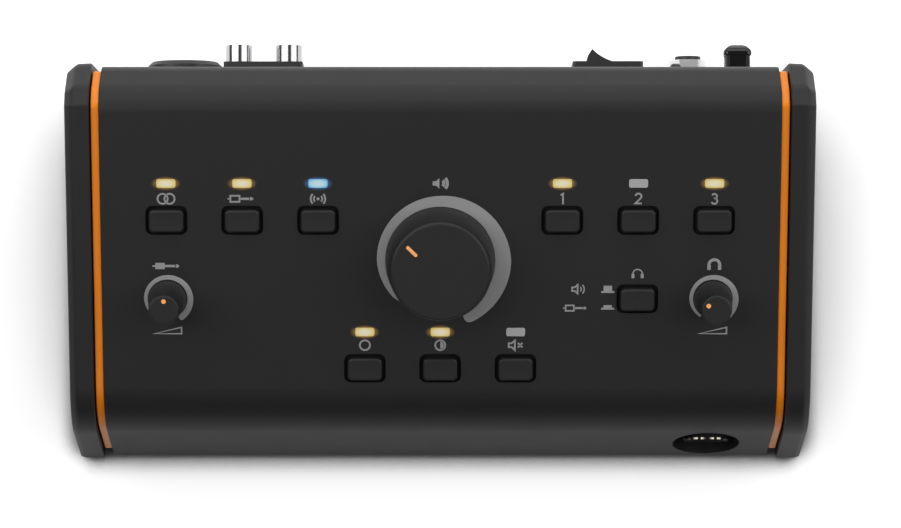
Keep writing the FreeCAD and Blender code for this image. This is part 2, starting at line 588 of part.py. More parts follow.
def board_screws():
    """Screws up into the panel's spacers and down into those of the lower board."""
    upper = screw(BOARD_T + SPACER_BORE - REST_GAP)
    lower = screw(BOARD_T + IO_BOARD_LIFT - REST_GAP)
    shapes = [on_panel(place_along(upper, Vec(0, 0, -1), x, u, -BOARD_DEPTH - BOARD_T))
              for x, u in PANEL_SPACERS]
    shapes += [place_along(lower, Vec(0, 0, 1), x, y, IO_TOP) for x, y in IO_SPACERS]
    return group(shapes)


def capacitors():
    y = REAR_Y - CAP_ROW
    return group(rounded_top(rod_z(CAP_R, IO_TOP, IO_TOP + CAP_H, CAP_START_X + k * CAP_PITCH, y),
                             IO_TOP + CAP_H, CAP_EDGE_R) for k in range(CAP_COUNT))


def board_parts():
    """Relays, radio module and chips on the lower board."""
    row_y = REAR_Y - RELAY_ROW
    relays = [box(x - RELAY_W / 2, x + RELAY_W / 2, row_y - RELAY_D / 2, row_y + RELAY_D / 2,
                  IO_TOP, IO_TOP + RELAY_H) for x in LINE_XS]
    front = IO_FRONT_Y + PARTS_SET
    left = MODULE_INSET - SIDE_X
    module = box(left, left + MODULE_W, front, front + MODULE_D, IO_TOP, IO_TOP + MODULE_H)
    chips = [box(x, x + CHIP_SIDE, front, front + CHIP_SIDE, IO_TOP, IO_TOP + CHIP_TALL)
             for x in CHIP_XS]
    return group(relays + [module] + chips)


def ribbon_ends():
    """Start of the ribbon under the control board, its lower end, and its bend radius."""
    depth = BOARD_DEPTH + BOARD_T + HEADER_H
    start = PANEL.multVec(Vec(0, RIBBON_U, -depth))
    floor = IO_TOP + HEADER_H
    drop = start.z - floor - RIBBON_LEAD * (1 + cos(TILT))
    return start, floor, drop / sin(TILT)


def ribbon_headers():
    half_w, half_d = HEADER_W / 2, HEADER_D / 2
    top = box(RIBBON_X - half_w, RIBBON_X + half_w, RIBBON_U - half_d, RIBBON_U + half_d,
              -BOARD_DEPTH - BOARD_T - HEADER_H, -BOARD_DEPTH - BOARD_T)
    start, floor, bend = ribbon_ends()
    y = start.y + RIBBON_LEAD * sin(TILT) + bend * (1 - cos(TILT))
    low = box(RIBBON_X - half_w, RIBBON_X + half_w, y - half_d, y + half_d, IO_TOP, floor)
    return group([on_panel(top), low])


def ribbon_cable():
    """Flat cable: leaves the upper header square, then bends to drop into the lower one."""
    start, floor, bend = ribbon_ends()
    bend_y = start.y + RIBBON_LEAD * sin(TILT)
    bend_z = start.z - RIBBON_LEAD * cos(TILT)
    centre_y, centre_z = bend_y - bend * cos(TILT), bend_z - bend * sin(TILT)
    x = RIBBON_X - RIBBON_W / 2

    def edge_points(side):
        radius = bend + side * RIBBON_T / 2
        on_arc = [Vec(x, centre_y + radius * cos(a), centre_z + radius * sin(a))
                  for a in (TILT, TILT / 2, 0.0)]
        shift = side * RIBBON_T / 2
        first = Vec(x, start.y + shift * cos(TILT), start.z + shift * sin(TILT))
        return first, on_arc, Vec(x, centre_y + radius, floor)

    (a0, arc_a, a1), (b0, arc_b, b1) = edge_points(-1), edge_points(1)
    edges = [Part.LineSegment(a0, arc_a[0]), Part.Arc(*arc_a), Part.LineSegment(arc_a[2], a1),
             Part.LineSegment(a1, b1), Part.LineSegment(b1, arc_b[2]),
             Part.Arc(arc_b[2], arc_b[1], arc_b[0]), Part.LineSegment(arc_b[0], b0),
             Part.LineSegment(b0, a0)]
    wire = Part.Wire([e.toShape() for e in edges])
    return Part.Face(wire).extrude(Vec(RIBBON_W, 0, 0))


# ---- keys and lights -----------------------------------------------------------------------------------
def key(x, u, travel):
    """Key cap with a retaining flange and a stem that enters its switch."""
    flange_top = -WALL - REST_GAP
    flange_low = flange_top - KEY_FLANGE
    proud = KEY_PROUD + travel - KEY_TRAVEL
    cap = rounded_top(slab(KEY_W, KEY_D, KEY_R, flange_low, proud, x, u), proud, KEY_EDGE)
    flange = slab(KEY_HOLE_W + 2 * FLANGE_LAP, KEY_HOLE_D + 2 * FLANGE_LAP, KEY_R,
                  flange_low, flange_top, x, u)
    stem_low = -BOARD_DEPTH + SWITCH_FLOOR + travel + REST_GAP
    return on_panel(fuse(cap, flange, rod_z(STEM_R, stem_low, flange_low, x, u)))


def key_switches():
    """Switch bodies on the control board, each with the bore for a key's stem."""
    shapes = []
    for name, x, u, travel in KEYS:
        body = slab(SWITCH_W, SWITCH_W, SWITCH_EDGE_R, -BOARD_DEPTH, -BOARD_DEPTH + SWITCH_H, x, u)
        bore = rod_z(STEM_R + SLIDE_FIT, -BOARD_DEPTH + SWITCH_FLOOR, 0, x, u)
        shapes.append(on_panel(cut(body, bore)))
    return group(shapes)


def light_windows(names):
    """Windows with a shoulder under the panel and a pipe down to the lamp chip."""
    low = -BOARD_DEPTH + CHIP_H + REST_GAP
    shapes = []
    for name in names:
        x, u = LIGHTS[name]
        window = slab(LIGHT_W, LIGHT_D, LIGHT_R - SLIDE_FIT, low, LIGHT_PROUD, x, u)
        shoulder = slab(LIGHT_W + 2 * LIGHT_SHOULDER, LIGHT_D + 2 * LIGHT_SHOULDER, LIGHT_R,
                        -2 * WALL, -WALL, x, u)
        shapes.append(on_panel(fuse(window, shoulder)))
    return group(shapes)


def light_chips():
    return group(on_panel(slab(CHIP_W, CHIP_D, CHIP_EDGE_R, -BOARD_DEPTH, -BOARD_DEPTH + CHIP_H, x, u))
                 for x, u in LIGHTS.values())


# ---- knobs ------------------------------------------------------------------------------------------------
def knob(x, u, base_r, top_r, height):
    """Tapered knob with the blind bore that takes the shaft."""
    top = KNOB_LIFT + height
    cone = Part.makeCone(base_r, top_r, height, Vec(x, u, KNOB_LIFT))
    cone = rounded_top(cone, top, KNOB_EDGE)
    return cut(cone, rod_z(SHAFT_R, KNOB_LIFT, KNOB_LIFT + SHAFT_IN_KNOB, x, u))


def shaft(x, u):
    return on_panel(rod_z(SHAFT_R, -BOARD_DEPTH + SWITCH_FLOOR + REST_GAP,
                          KNOB_LIFT + SHAFT_IN_KNOB, x, u))


def turned(shape, x, u, angle):
    """Turn a shape on its knob's axis; angle is to the left of straight up."""
    shape = shape.copy()
    shape.rotate(Vec(x, u, 0), Vec(0, 0, 1), angle)
    return shape


def main_line():
    """Inlaid pointer of the main knob."""
    top = KNOB_LIFT + MAIN_KNOB_H
    length = LINE_OUT - LINE_IN
    bar = slab(LINE_W, length, LINE_W / 2, top - INLAY_DEPTH, top,
               0, MAIN_KNOB_U + LINE_IN + length / 2)
    return turned(bar, 0, MAIN_KNOB_U, MAIN_POINTER)


def small_dot(x, pointer):
    top = KNOB_LIFT + SMALL_KNOB_H
    dot = rod_z(DOT_R, top - INLAY_DEPTH, top, x, SMALL_KNOB_U + DOT_AT)
    return turned(dot, x, SMALL_KNOB_U, pointer)


def main_knob():
    body = knob(0, MAIN_KNOB_U, MAIN_BASE_R, MAIN_TOP_R, MAIN_KNOB_H)
    nut_room = rod_z(POT_NUT_FLATS / 2 / cos(pi / 6) + NUT_ROOM, 0, MAIN_BUSH_RISE + NUT_ROOM,
                     0, MAIN_KNOB_U)
    return on_panel(cut(body, nut_room, main_line()))


def small_knob(x, pointer):
    body = knob(x, SMALL_KNOB_U, SMALL_BASE_R, SMALL_TOP_R, SMALL_KNOB_H)
    return on_panel(cut(body, small_dot(x, pointer)))


def pot(x, u, width, height, bush_r, bush_top):
    """Potentiometer body on the control board with its threaded bush."""
    body = slab(width, width, POT_EDGE_R, -BOARD_DEPTH, -BOARD_DEPTH + height, x, u)
    bush = rod_z(bush_r, -BOARD_DEPTH + height, bush_top, x, u)
    bore = rod_z(SHAFT_R + SLIDE_FIT, -BOARD_DEPTH + SWITCH_FLOOR, bush_top, x, u)
    return on_panel(cut(fuse(body, bush), bore))


def main_pot():
    return pot(0, MAIN_KNOB_U, MAIN_POT_W, MAIN_POT_H, MAIN_BUSH_R, MAIN_BUSH_RISE)


def small_pots():
    return group(pot(x, SMALL_KNOB_U, SMALL_POT_W, SMALL_POT_H, SMALL_BUSH_R, 0)
                 for x, pointer in SMALL_KNOBS.values())


def main_pot_nut():
    nut = cut(hexagon(POT_NUT_FLATS, 0, POT_NUT_T), rod_z(MAIN_BUSH_R, 0, POT_NUT_T))
    nut.translate(Vec(0, MAIN_KNOB_U, 0))
    return on_panel(nut)


# ---- headphone socket ----------------------------------------------------------------------------------------
def headphone_cup():
    """Liner cup in the front face's round opening, trimmed to the leaning face."""
    outer_r = PHONES_HOLE_R - SLIDE_FIT
    cup = rod_y(outer_r, FRONT_Y - WALL, CUP_BACK_Y, COLUMN_X, PHONES_Z)
    room = rod_y(outer_r - PHONES_CUP_WALL, FRONT_Y - WALL, CUP_FLOOR_Y, COLUMN_X, PHONES_Z)
    hole = rod_y(PHONES_BUSH_R + SLIDE_FIT, FRONT_Y, CUP_BACK_Y, COLUMN_X, PHONES_Z)
    trim = profile_block(0, SIDE_X, [-SLIDE_FIT] * 6, BODY_RADII)
    return cut(cup.common(trim), room, hole)


def headphone_jack():
    half = PHONES_BODY_W / 2
    back = CUP_BACK_Y + PHONES_BODY_L
    body = box(COLUMN_X - half, COLUMN_X + half, CUP_BACK_Y, back, IO_TOP, IO_TOP + PHONES_BODY_H)
    nose_y = NUT_Y - REST_GAP
    bush = rod_y(PHONES_BUSH_R, nose_y, CUP_BACK_Y, COLUMN_X, PHONES_Z)
    bore = rod_y(JACK_BORE_R, nose_y, back - BOARD_T, COLUMN_X, PHONES_Z)
    return cut(fuse(body, bush), bore)


def headphone_nut():
    """Round nut with notches all round its edge."""
    nut = rod_z(PHONES_NUT_R, 0, PHONES_NUT_T)
    step = 2 * pi / PHONES_NUT_TEETH
    notches = [rod_z(NOTCH_R, 0, PHONES_NUT_T, PHONES_NUT_R * cos(k * step),
                     PHONES_NUT_R * sin(k * step)) for k in range(PHONES_NUT_TEETH)]
    nut = cut(nut, rod_z(PHONES_BUSH_R + SLIDE_FIT, 0, PHONES_NUT_T), *notches)
    return facing_rear(nut, COLUMN_X, NUT_Y, PHONES_Z)


# ---- rear connectors --------------------------------------------------------------------------------------------
def combo_jack():
    """Combined three-pin and 6.35 mm socket with its flange."""
    y_face = REAR_Y + COMBO_FLANGE_T
    flange = rear_slab(COMBO_W, COMBO_H, COMBO_CORNER_R, REAR_Y, y_face, COMBO_X, COMBO_Z)
    rim = [e for e in flange.Edges if all(abs(v.Y - y_face) < PLANE_TOL for v in e.Vertexes)]
    flange = flange.makeChamfer(COMBO_BEVEL, rim)
    neck = rod_y(COMBO_R, INNER_REAR_Y, REAR_Y, COMBO_X, COMBO_Z)
    body = box(COMBO_X - COMBO_R, COMBO_X + COMBO_R, INNER_REAR_Y - COMBO_BODY_L, INNER_REAR_Y,
               IO_TOP, COMBO_Z + COMBO_R)
    dish = rod_y(COMBO_R - COMBO_BEVEL, y_face - COMBO_BEVEL, y_face, COMBO_X, COMBO_Z)
    back = INNER_REAR_Y - COMBO_BODY_L + BOARD_T
    holes = [dish, rod_y(JACK_BORE_R, back, y_face, COMBO_X, COMBO_Z)]
    for angle in (pi / 6, 5 * pi / 6, 3 * pi / 2):
        holes.append(rod_y(CONTACT_HOLE_R, REAR_Y - CONTACT_HOLE_L, y_face,
                           COMBO_X + CONTACT_HOLE_AT * cos(angle),
                           COMBO_Z + CONTACT_HOLE_AT * sin(angle)))
    return cut(fuse(flange, neck, body), *holes)


def line_jacks():
    """Three stacked pairs of 6.35 mm sockets, flush with the rear panel."""
    half = LINE_BODY_W / 2
    shapes = []
    for x in LINE_XS:
        body = box(x - half, x + half, INNER_REAR_Y - LINE_BODY_L, INNER_REAR_Y,
                   IO_TOP, LINE_ZS[1] + LINE_LOW_RISE)
        noses = [rod_y(LINE_NOSE_R, INNER_REAR_Y, REAR_Y + LINE_NOSE_PROUD, x, z)
                 for z in LINE_ZS]
        bores = [rod_y(JACK_BORE_R, INNER_REAR_Y - LINE_BODY_L + BOARD_T,
                       REAR_Y + LINE_NOSE_PROUD, x, z) for z in LINE_ZS]
        shapes.append(cut(fuse(body, *noses), *bores))
    return group(shapes)


PHONO_FACE_Y = REAR_Y + PHONO_BASE_PROUD
PHONO_SEAT_Y = PHONO_FACE_Y - SHELL_SEAT
SHELL_NECK_R, SHELL_FOOT_Y = SHELL_R - SHELL_STEP, PHONO_FACE_Y + REST_GAP


def phono_base():
    """Black block that carries both phono sockets."""
    back = INNER_REAR_Y - PHONO_BODY_L
    block = rear_slab(PHONO_BASE_W, PHONO_BASE_H, CONNECTOR_R, back, PHONO_FACE_Y,
                      PHONO_X, PHONO_Z)
    half = PHONO_BASE_W / 2
    foot = box(PHONO_X - half, PHONO_X + half, back, INNER_REAR_Y, IO_TOP, PHONO_Z)
    seats = [rod_y(SHELL_NECK_R, PHONO_SEAT_Y, PHONO_FACE_Y, x, PHONO_Z) for x in PHONO_XS]
    return cut(fuse(block, foot), *seats)


def phono_ring(outer_r, inner_r, y_end):
    """Pair of tubes, one in each phono socket, from their seats to y_end."""
    return group(cut(rod_y(outer_r, PHONO_SEAT_Y, y_end, x, PHONO_Z),
                     rod_y(inner_r, PHONO_SEAT_Y, y_end, x, PHONO_Z)) for x in PHONO_XS)


def phono_shells():
    """Shells that a plug slips over, each on a narrower neck that enters the block."""
    tip, inner_r = REAR_Y + SHELL_REACH, SHELL_R - SHELL_T
    return group(cut(fuse(rod_y(SHELL_R, SHELL_FOOT_Y, tip, x, PHONO_Z),
                          rod_y(SHELL_NECK_R, PHONO_SEAT_Y, SHELL_FOOT_Y, x, PHONO_Z)),
                     rod_y(inner_r, PHONO_SEAT_Y, tip, x, PHONO_Z)) for x in PHONO_XS)


def phono_insulators():
    return phono_ring(SHELL_R - SHELL_T, CENTRE_HOLE_R + CENTRE_T, REAR_Y + SHELL_REACH - INSULATOR_SET)


def phono_contacts():
    return phono_ring(CENTRE_HOLE_R + CENTRE_T, CENTRE_HOLE_R, REAR_Y + SHELL_REACH - CONTACT_SET)


def switch_housing():
    """Power switch body with its flange, the rocker's cavity and the pivot bores."""
    flange = rear_slab(SWITCH_FLANGE_W, SWITCH_FLANGE_H, CONNECTOR_R, REAR_Y, SWITCH_FACE_Y,
                       SWITCH_X, SWITCH_Z)
    body = rear_slab(SWITCH_BODY_W, SWITCH_BODY_H, CONNECTOR_R, REAR_Y - SWITCH_BODY_L,
                     REAR_Y, SWITCH_X, SWITCH_Z)
    turn = radians(ROCKER_TILT)
    tips = [(ROCKER_BASE_X, ROCKER_PIVOT), (ROCKER_END_X, ROCKER_PIVOT + ROCKER_END_H)]
    half_w = max(x * cos(turn) + y * sin(turn) for x, y in tips) + ROCKER_GAP
    half_h = ROCKER_H / 2 + ROCKER_GAP
    floor_y = PIVOT_Y - hypot(ROCKER_KEEL_X, ROCKER_KEEL - ROCKER_PIVOT) - ROCKER_GAP
    cavity = box(SWITCH_X - half_w, SWITCH_X + half_w, floor_y, SWITCH_FACE_Y,
                 SWITCH_Z - half_h, SWITCH_Z + half_h)
    pin_half = ROCKER_H / 2 + TRUNNION_L + SLIDE_FIT
    pins = rod_z(TRUNNION_R + SLIDE_FIT, SWITCH_Z - pin_half, SWITCH_Z + pin_half,
                 SWITCH_X, PIVOT_Y)
    return cut(fuse(flange, body), cavity, pins)


def switch_rocker():
    """Rocker with a dished face and two pivot stubs, resting with its left end out."""
    z = SWITCH_Z - ROCKER_H / 2

    def at(x, y):
        return Vec(SWITCH_X + x, SWITCH_FACE_Y + y, z)

    top = Part.Arc(at(-ROCKER_END_X, ROCKER_END_H), at(0, ROCKER_MID_H),
                   at(ROCKER_END_X, ROCKER_END_H)).toShape()
    rest = Part.makePolygon([at(ROCKER_END_X, ROCKER_END_H), at(ROCKER_BASE_X, 0),
                             at(ROCKER_SIDE_X, -ROCKER_SIDE), at(ROCKER_KEEL_X, -ROCKER_KEEL),
                             at(-ROCKER_KEEL_X, -ROCKER_KEEL), at(-ROCKER_SIDE_X, -ROCKER_SIDE),
                             at(-ROCKER_BASE_X, 0), at(-ROCKER_END_X, ROCKER_END_H)])
    body = Part.Face(Part.Wire([top] + rest.Edges)).extrude(Vec(0, 0, ROCKER_H))
    pin_half = ROCKER_H / 2 + TRUNNION_L
    pins = rod_z(TRUNNION_R, SWITCH_Z - pin_half, SWITCH_Z + pin_half, SWITCH_X, PIVOT_Y)
    rocker = fuse(body, pins)
    rocker.rotate(Vec(SWITCH_X, PIVOT_Y, 0), Vec(0, 0, 1), -ROCKER_TILT)
    return rocker


def dc_inlet():
    """Low-voltage inlet: body, threaded bush and the centre pin in its cavity."""
    half = DC_BODY_W / 2
    body = box(DC_X - half, DC_X + half, INNER_REAR_Y - DC_BODY_L, INNER_REAR_Y,
               IO_TOP, DC_Z + DC_BODY_W / 2)
    mouth = REAR_Y + DC_REACH
    bush = rod_y(DC_BUSH_R, INNER_REAR_Y, mouth, DC_X, DC_Z)
    cavity = rod_y(DC_CAVITY_R, mouth - DC_CAVITY_L, mouth, DC_X, DC_Z)
    pin = rod_y(DC_PIN_R, mouth - DC_CAVITY_L, mouth - DC_PIN_SET, DC_X, DC_Z)
    return fuse(cut(fuse(body, bush), cavity), pin)


def dc_inlet_nut():
    """Washer and hexagonal nut on the inlet's bush."""
    bore = rod_z(DC_BUSH_R, 0, DC_WASHER_T + DC_NUT_T)
    washer = cut(rod_z(DC_NUT_FLATS / 2 + DC_WASHER_LAP, 0, DC_WASHER_T), bore)
    nut = cut(hexagon(DC_NUT_FLATS, DC_WASHER_T, DC_WASHER_T + DC_NUT_T), bore)
    return group(facing_rear(s, DC_X, REAR_Y, DC_Z) for s in (washer, nut))


def cable_clamp():
    """Strain relief loop for the supply's lead: a foot, an upper and a lower bar and a round head."""
    foot_y, tip_y = REAR_Y + CLAMP_BASE_T, REAR_Y + REAR_REACH
    head_y = tip_y - CLAMP_HEAD_T
    low, high = CLAMP_Z - CLAMP_H / 2, CLAMP_Z + CLAMP_H / 2
    foot = rear_slab(CLAMP_W, CLAMP_BASE_H, CLAMP_BASE_R, REAR_Y, foot_y, CLAMP_X, CLAMP_Z)
    stud = rod_y(CLAMP_STUD_R, INNER_REAR_Y - CLAMP_STUD_TAIL, REAR_Y, CLAMP_X, CLAMP_Z)
    half, waist = CLAMP_W / 2, CLAMP_WAIST_W / 2
    head = box(CLAMP_X - half, CLAMP_X + half, head_y, tip_y, low, high)
    rim = [e for e in head.Edges if all(abs(v.Y - tip_y) < PLANE_TOL for v in e.Vertexes)]
    head = head.makeFillet(CLAMP_HEAD_R, rim)
    bars = [box(CLAMP_X - waist, CLAMP_X + waist, foot_y, head_y, z, z + CLAMP_BAR_T)
            for z in (low, high - CLAMP_BAR_T)]
    return fuse(foot, stud, head, *bars)


# ---- assembly -----------------------------------------------------------------------------------------------------
def all_parts():
    cheek, plate = right_cheek(), right_accent_plate()
    lit = [n for n in LIGHTS if n not in BLUE_LIT + UNLIT]
    parts = {
        "top_cover": top_cover(), "base_plate": base_plate(), "rear_panel": rear_panel(),
        "left_cheek": mirrored(cheek), "right_cheek": cheek,
        "left_accent_plate": mirrored(plate), "right_accent_plate": plate,
        "feet": feet(), "cheek_screws": cheek_screws(), "case_screws": case_screws(),
        "control_board": control_board(), "lower_board": lower_board(),
        "board_spacers": board_spacers(), "board_screws": board_screws(),
        "capacitors": capacitors(), "board_parts": board_parts(),
        "ribbon_headers": ribbon_headers(), "ribbon_cable": ribbon_cable(),
        "key_switches": key_switches(), "light_chips": light_chips(),
        "amber_light_windows": light_windows(lit),
        "blue_light_window": light_windows(BLUE_LIT),
        "clear_light_windows": light_windows(UNLIT),
        "main_pot": main_pot(), "main_pot_nut": main_pot_nut(), "small_pots": small_pots(),
        "main_knob": main_knob(), "main_knob_line": on_panel(main_line()),
        "main_pot_shaft": shaft(0, MAIN_KNOB_U),
        "headphone_cup": headphone_cup(), "headphone_jack": headphone_jack(),
        "headphone_nut": headphone_nut(), "combo_jack": combo_jack(), "line_jacks": line_jacks(),
        "phono_base": phono_base(), "phono_shells": phono_shells(),
        "phono_insulators": phono_insulators(), "phono_contacts": phono_contacts(),
        "switch_housing": switch_housing(), "switch_rocker": switch_rocker(),
        "dc_inlet": dc_inlet(), "dc_inlet_nut": dc_inlet_nut(), "cable_clamp": cable_clamp(),
    }
    for name, (x, pointer) in SMALL_KNOBS.items():
        parts[name + "_knob"] = small_knob(x, pointer)
        parts[name + "_knob_dot"] = on_panel(small_dot(x, pointer))
        parts[name + "_pot_shaft"] = shaft(x, SMALL_KNOB_U)
    for name, x, u, travel in KEYS:
        parts[name] = key(x, u, travel)
    return parts


def main():
    os.makedirs("parts", exist_ok=True)
    for name, shape in all_parts().items():
        shape.exportStep("parts/" + name + ".step")
    print("panel middle", [round(v, 3) for v in PANEL.Base])


main()
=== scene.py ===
import json
from math import atan2, cos, hypot, pi, radians, sin, tan

import bmesh
import bpy
from bpy.props import FloatProperty, FloatVectorProperty, PointerProperty
from mathutils import Matrix, Vector

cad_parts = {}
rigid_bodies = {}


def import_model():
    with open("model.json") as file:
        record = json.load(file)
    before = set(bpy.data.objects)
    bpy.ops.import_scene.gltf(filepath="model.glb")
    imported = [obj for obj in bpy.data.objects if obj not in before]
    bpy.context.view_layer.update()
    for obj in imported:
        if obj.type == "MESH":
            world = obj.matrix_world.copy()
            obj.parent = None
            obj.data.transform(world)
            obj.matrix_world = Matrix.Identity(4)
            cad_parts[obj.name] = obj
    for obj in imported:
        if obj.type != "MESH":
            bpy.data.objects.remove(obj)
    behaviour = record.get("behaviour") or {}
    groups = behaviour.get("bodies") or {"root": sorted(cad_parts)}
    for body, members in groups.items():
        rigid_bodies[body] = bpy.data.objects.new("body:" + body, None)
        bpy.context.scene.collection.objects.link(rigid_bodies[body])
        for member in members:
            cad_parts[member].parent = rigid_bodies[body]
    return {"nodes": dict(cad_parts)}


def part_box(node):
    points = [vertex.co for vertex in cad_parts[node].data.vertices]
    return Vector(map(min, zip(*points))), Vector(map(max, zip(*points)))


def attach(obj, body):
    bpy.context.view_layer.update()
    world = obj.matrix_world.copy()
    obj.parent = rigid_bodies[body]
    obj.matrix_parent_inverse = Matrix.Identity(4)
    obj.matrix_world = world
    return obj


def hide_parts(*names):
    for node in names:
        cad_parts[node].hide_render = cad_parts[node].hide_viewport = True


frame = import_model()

bl_info = {
    "name": "Studio monitor controller",
    "version": (1, 0, 0),
    "blender": (4, 5, 0),
    "location": "3D View > Sidebar > Monitor controller",
    "description": "Makes the visible pieces, finishes and studio of a desktop monitor controller",
    "category": "Object",
}

# Points of a mesh are in millimetres, X to the right, Y to the rear and Z up.
MM = 0.001

# ---- side profile of the body --------------------------------------------------------
BODY_HALF, WALL = 103.0, 1.5
BODY_DEPTH, BASE_Z, FRONT_H = 118.8, 3.5, 35.7
RAKE, TILT, CREST_FALL, BACK_FALL = radians(17.0), radians(14.5), radians(18.5), radians(48.0)
CREST_RUN, BACK_RUN = 5.5, 7.5
BODY_RADII = (1.5, 19.3, 8.0, 8.0, 8.0, 1.5)
ARC_STEPS = (5, 40, 12, 14, 16, 5)
LIP_Z = 48.5
REAR_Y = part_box("rear_panel")[1].y / MM
FRONT_Y = REAR_Y - BODY_DEPTH
PLATE_T, LAND_T, CHEEK_T = 2.5, 0.4, 7.6
# run and depth of the cheek's chamfer at its front, panel, crest, back, rear and base
CHEEK_SLOPES = ((1.6, 1.0), (2.3, 2.3), (2.3, 2.3), (2.8, 2.6), (3.2, 2.8), (0.6, 0.2))
# rounded rim of the cheek: distance back from the outer face, and how much further it is drawn in
CHEEK_RIM = ((0.25, -0.16), (0.08, 0.06), (0.0, 0.3))
CHEEK_SOFTNESS, CHEEK_PROUD, CHEEK_EDGE, CHEEK_STEP = 0.2, 0.95, 0.45, 0.3
CHEEK_RADII = (2.5, 20.3, 1.2, 4.0, 6.0, 1.2)
PLATE_EDGE, PLATE_RADII = 0.35, (1.2, 18.4, 3.0, 3.0, 3.0, 1.2)
# how far the accent plate stays inside the body's front, panel, crest, back, rear and base
PLATE_INSETS = (0.9, 0.9, 0.9, 0.9, 1.6, 4.0)
SMOOTH_ANGLE = 32.0

# ---- panel layout: X to the right, second number up the slope from the panel's middle ---
PANEL = Matrix.Translation(Vector((0.0, -1.471, 52.526)) * MM) @ Matrix.Rotation(TILT, 4, "X")
TOP_ROW, LOW_ROW, KNOB_ROW = 9.5, -36.6, -14.85
KEYS = {
    "stereo_key": (-83.0, TOP_ROW), "aux_key": (-60.0, TOP_ROW), "pair_key": (-37.0, TOP_ROW),
    "output_1_key": (37.0, TOP_ROW), "output_2_key": (60.0, TOP_ROW), "output_3_key": (83.0, TOP_ROW),
    "mono_key": (-23.0, LOW_ROW), "dim_key": (0.0, LOW_ROW), "mute_key": (23.0, LOW_ROW),
    "listen_key": (60.0, KNOB_ROW),
}
# end of the stem and top of the cap, for the other keys and for the listening key
KEY_HEIGHTS, LISTEN_HEIGHTS = (-7.1, 2.0), (-6.7, 2.3)
KEY_CORNER, KEY_DISH, CAP_LOW = 1.4, 0.16, -1.75
KEY_ROOM, KEY_HOLE_CORNER = 1.9, 1.9
FLANGE_GROW, FLANGE_LOW, FLANGE_TOP, STEM_R = 1.75, -2.6, -1.8, 1.6
LIGHT_RISE, LABEL_RISE, LOW_LABEL_RISE = 11.4, 6.7, 7.3
BLUE_LIGHT, DARK_LIGHTS = "pair_key", ("output_2_key", "mute_key")
WINDOW_CORNER, WINDOW_ROOM, WINDOW_HOLE_CORNER = 0.65, 0.1, 0.7
WINDOW_LEVELS = [(0, -8.8), (0, -3.0), (0.7, -3.0), (0.7, -1.5), (0, -1.5)]
SPILL_ACROSS, SPILL_ALONG, SPILL_CORNER, SPILL_RISE = 1.7, 0.9, 1.9, 0.015
MAIN_KNOB, AUX_KNOB, PHONES_KNOB = (0.0, -3.0), (-83.0, KNOB_ROW), (83.0, KNOB_ROW)
# base radius, top radius and height
MAIN_KNOB_SIZE, SMALL_KNOB_SIZE, SMALL_KNOB_EDGE = (16.75, 15.2, 16.0), (5.8, 4.6, 15.8), 0.6
KNOB_LIFT, SHAFT_R, SHAFT_IN_KNOB, NUT_ROOM = 0.6, 3.0, 10.5, (7.53, 4.2)
MAIN_HOLE_R, SMALL_HOLE_R = 4.7, 3.8
POINTER_TURN = {"main_knob": 53.5, "aux_knob": 0.0, "phones_knob": 60.0}
LINE_LEAN, LINE_OUT, DOT_OUT = 8.0, 10.6, 2.8
INLAY_LEVELS = [(0, -0.4), (0, -0.05), (-0.08, 0.04)]
# inner radius of a printed ring, and its width at degrees clockwise from up
MAIN_RING = 16.75, ((-142, 0.3), (-128, 1.5), (-90, 2.5), (0, 3.35), (90, 4.8), (158, 4.5))
SMALL_RING = 6.05, ((-146, 0.7), (-90, 1.1), (0, 1.4), (90, 1.78), (150, 1.9))
# middle of the floor of the headphone socket's cup
HEADPHONE = 83.0, -56.247, 16.8
HEADPHONE_HOLE_R, LUGS, LUG_SPAN = 10.5, 18, 12.0

# ---- fasteners and fittings at the rear ---------------------------------------------------
SCREW_X, SCREW_YS, SCREW_ZS = 98.0, (-40.51, -4.51, 31.49), (11.2, 43.1)
HOOK_X, HOOK_Z = 92.6, 24.5
EARTH_SCREW_X, EARTH_SCREW_Z = 72.2, 44.0
COAT_ROUGHNESS, COAT_SHEEN = 0.5, 0.4

# ---- studio, in metres and watts ----------------------------------------------------------
# place, size and power
LAMPS = {
    "left_softbox": ((-0.78, 0.2, 1.05), (0.75, 1.2), 7.6),
    "right_softbox": ((0.95, 0.2, 0.9), (1.1, 1.2), 8.4),
    "rear_softbox": ((0.0, 1.15, 0.72), (1.6, 1.1), 10.0),
    "top_softbox": ((0.0, -0.62, 1.1), (1.0, 0.7), 1.1),
}
LAMP_AIM = (0.0, 0.0, 0.03)
CAMERA_Y, CAMERA_LEAN, CAMERA_LENS, CAMERA_SHIFT = -0.0565, radians(2.61), 147.8, 0.0114
# reach of the floor's close and wide painted shade near the object, and how open it is where each is
# full and where it ends
CONTACT_REACH, CONTACT_OPEN = 0.01, (0.62, 0.92)
SHADE_REACH, SHADE_OPEN = 0.06, (0.5, 0.72)
# stretches over which the floor's glow turns bright: behind the object, a painted light; in
# reflections, which see it dimmed in front of the object, a painted shade; and far off
BEHIND_Y, MIRROR_Y, FAR_OFF = (0.02, 0.055), (0.0, 0.06), (0.4, 1.2)
# size of the floor, strength of its glow, its colour darkened by painted shadow where the object stands
# close and its colour in the open, and the dim surround
FLOOR_HALF, FLOOR_GLOW, FLOOR_SHADE_TONES, SURROUND = 3.0, 0.53, (0.15, 0.76), 0.08


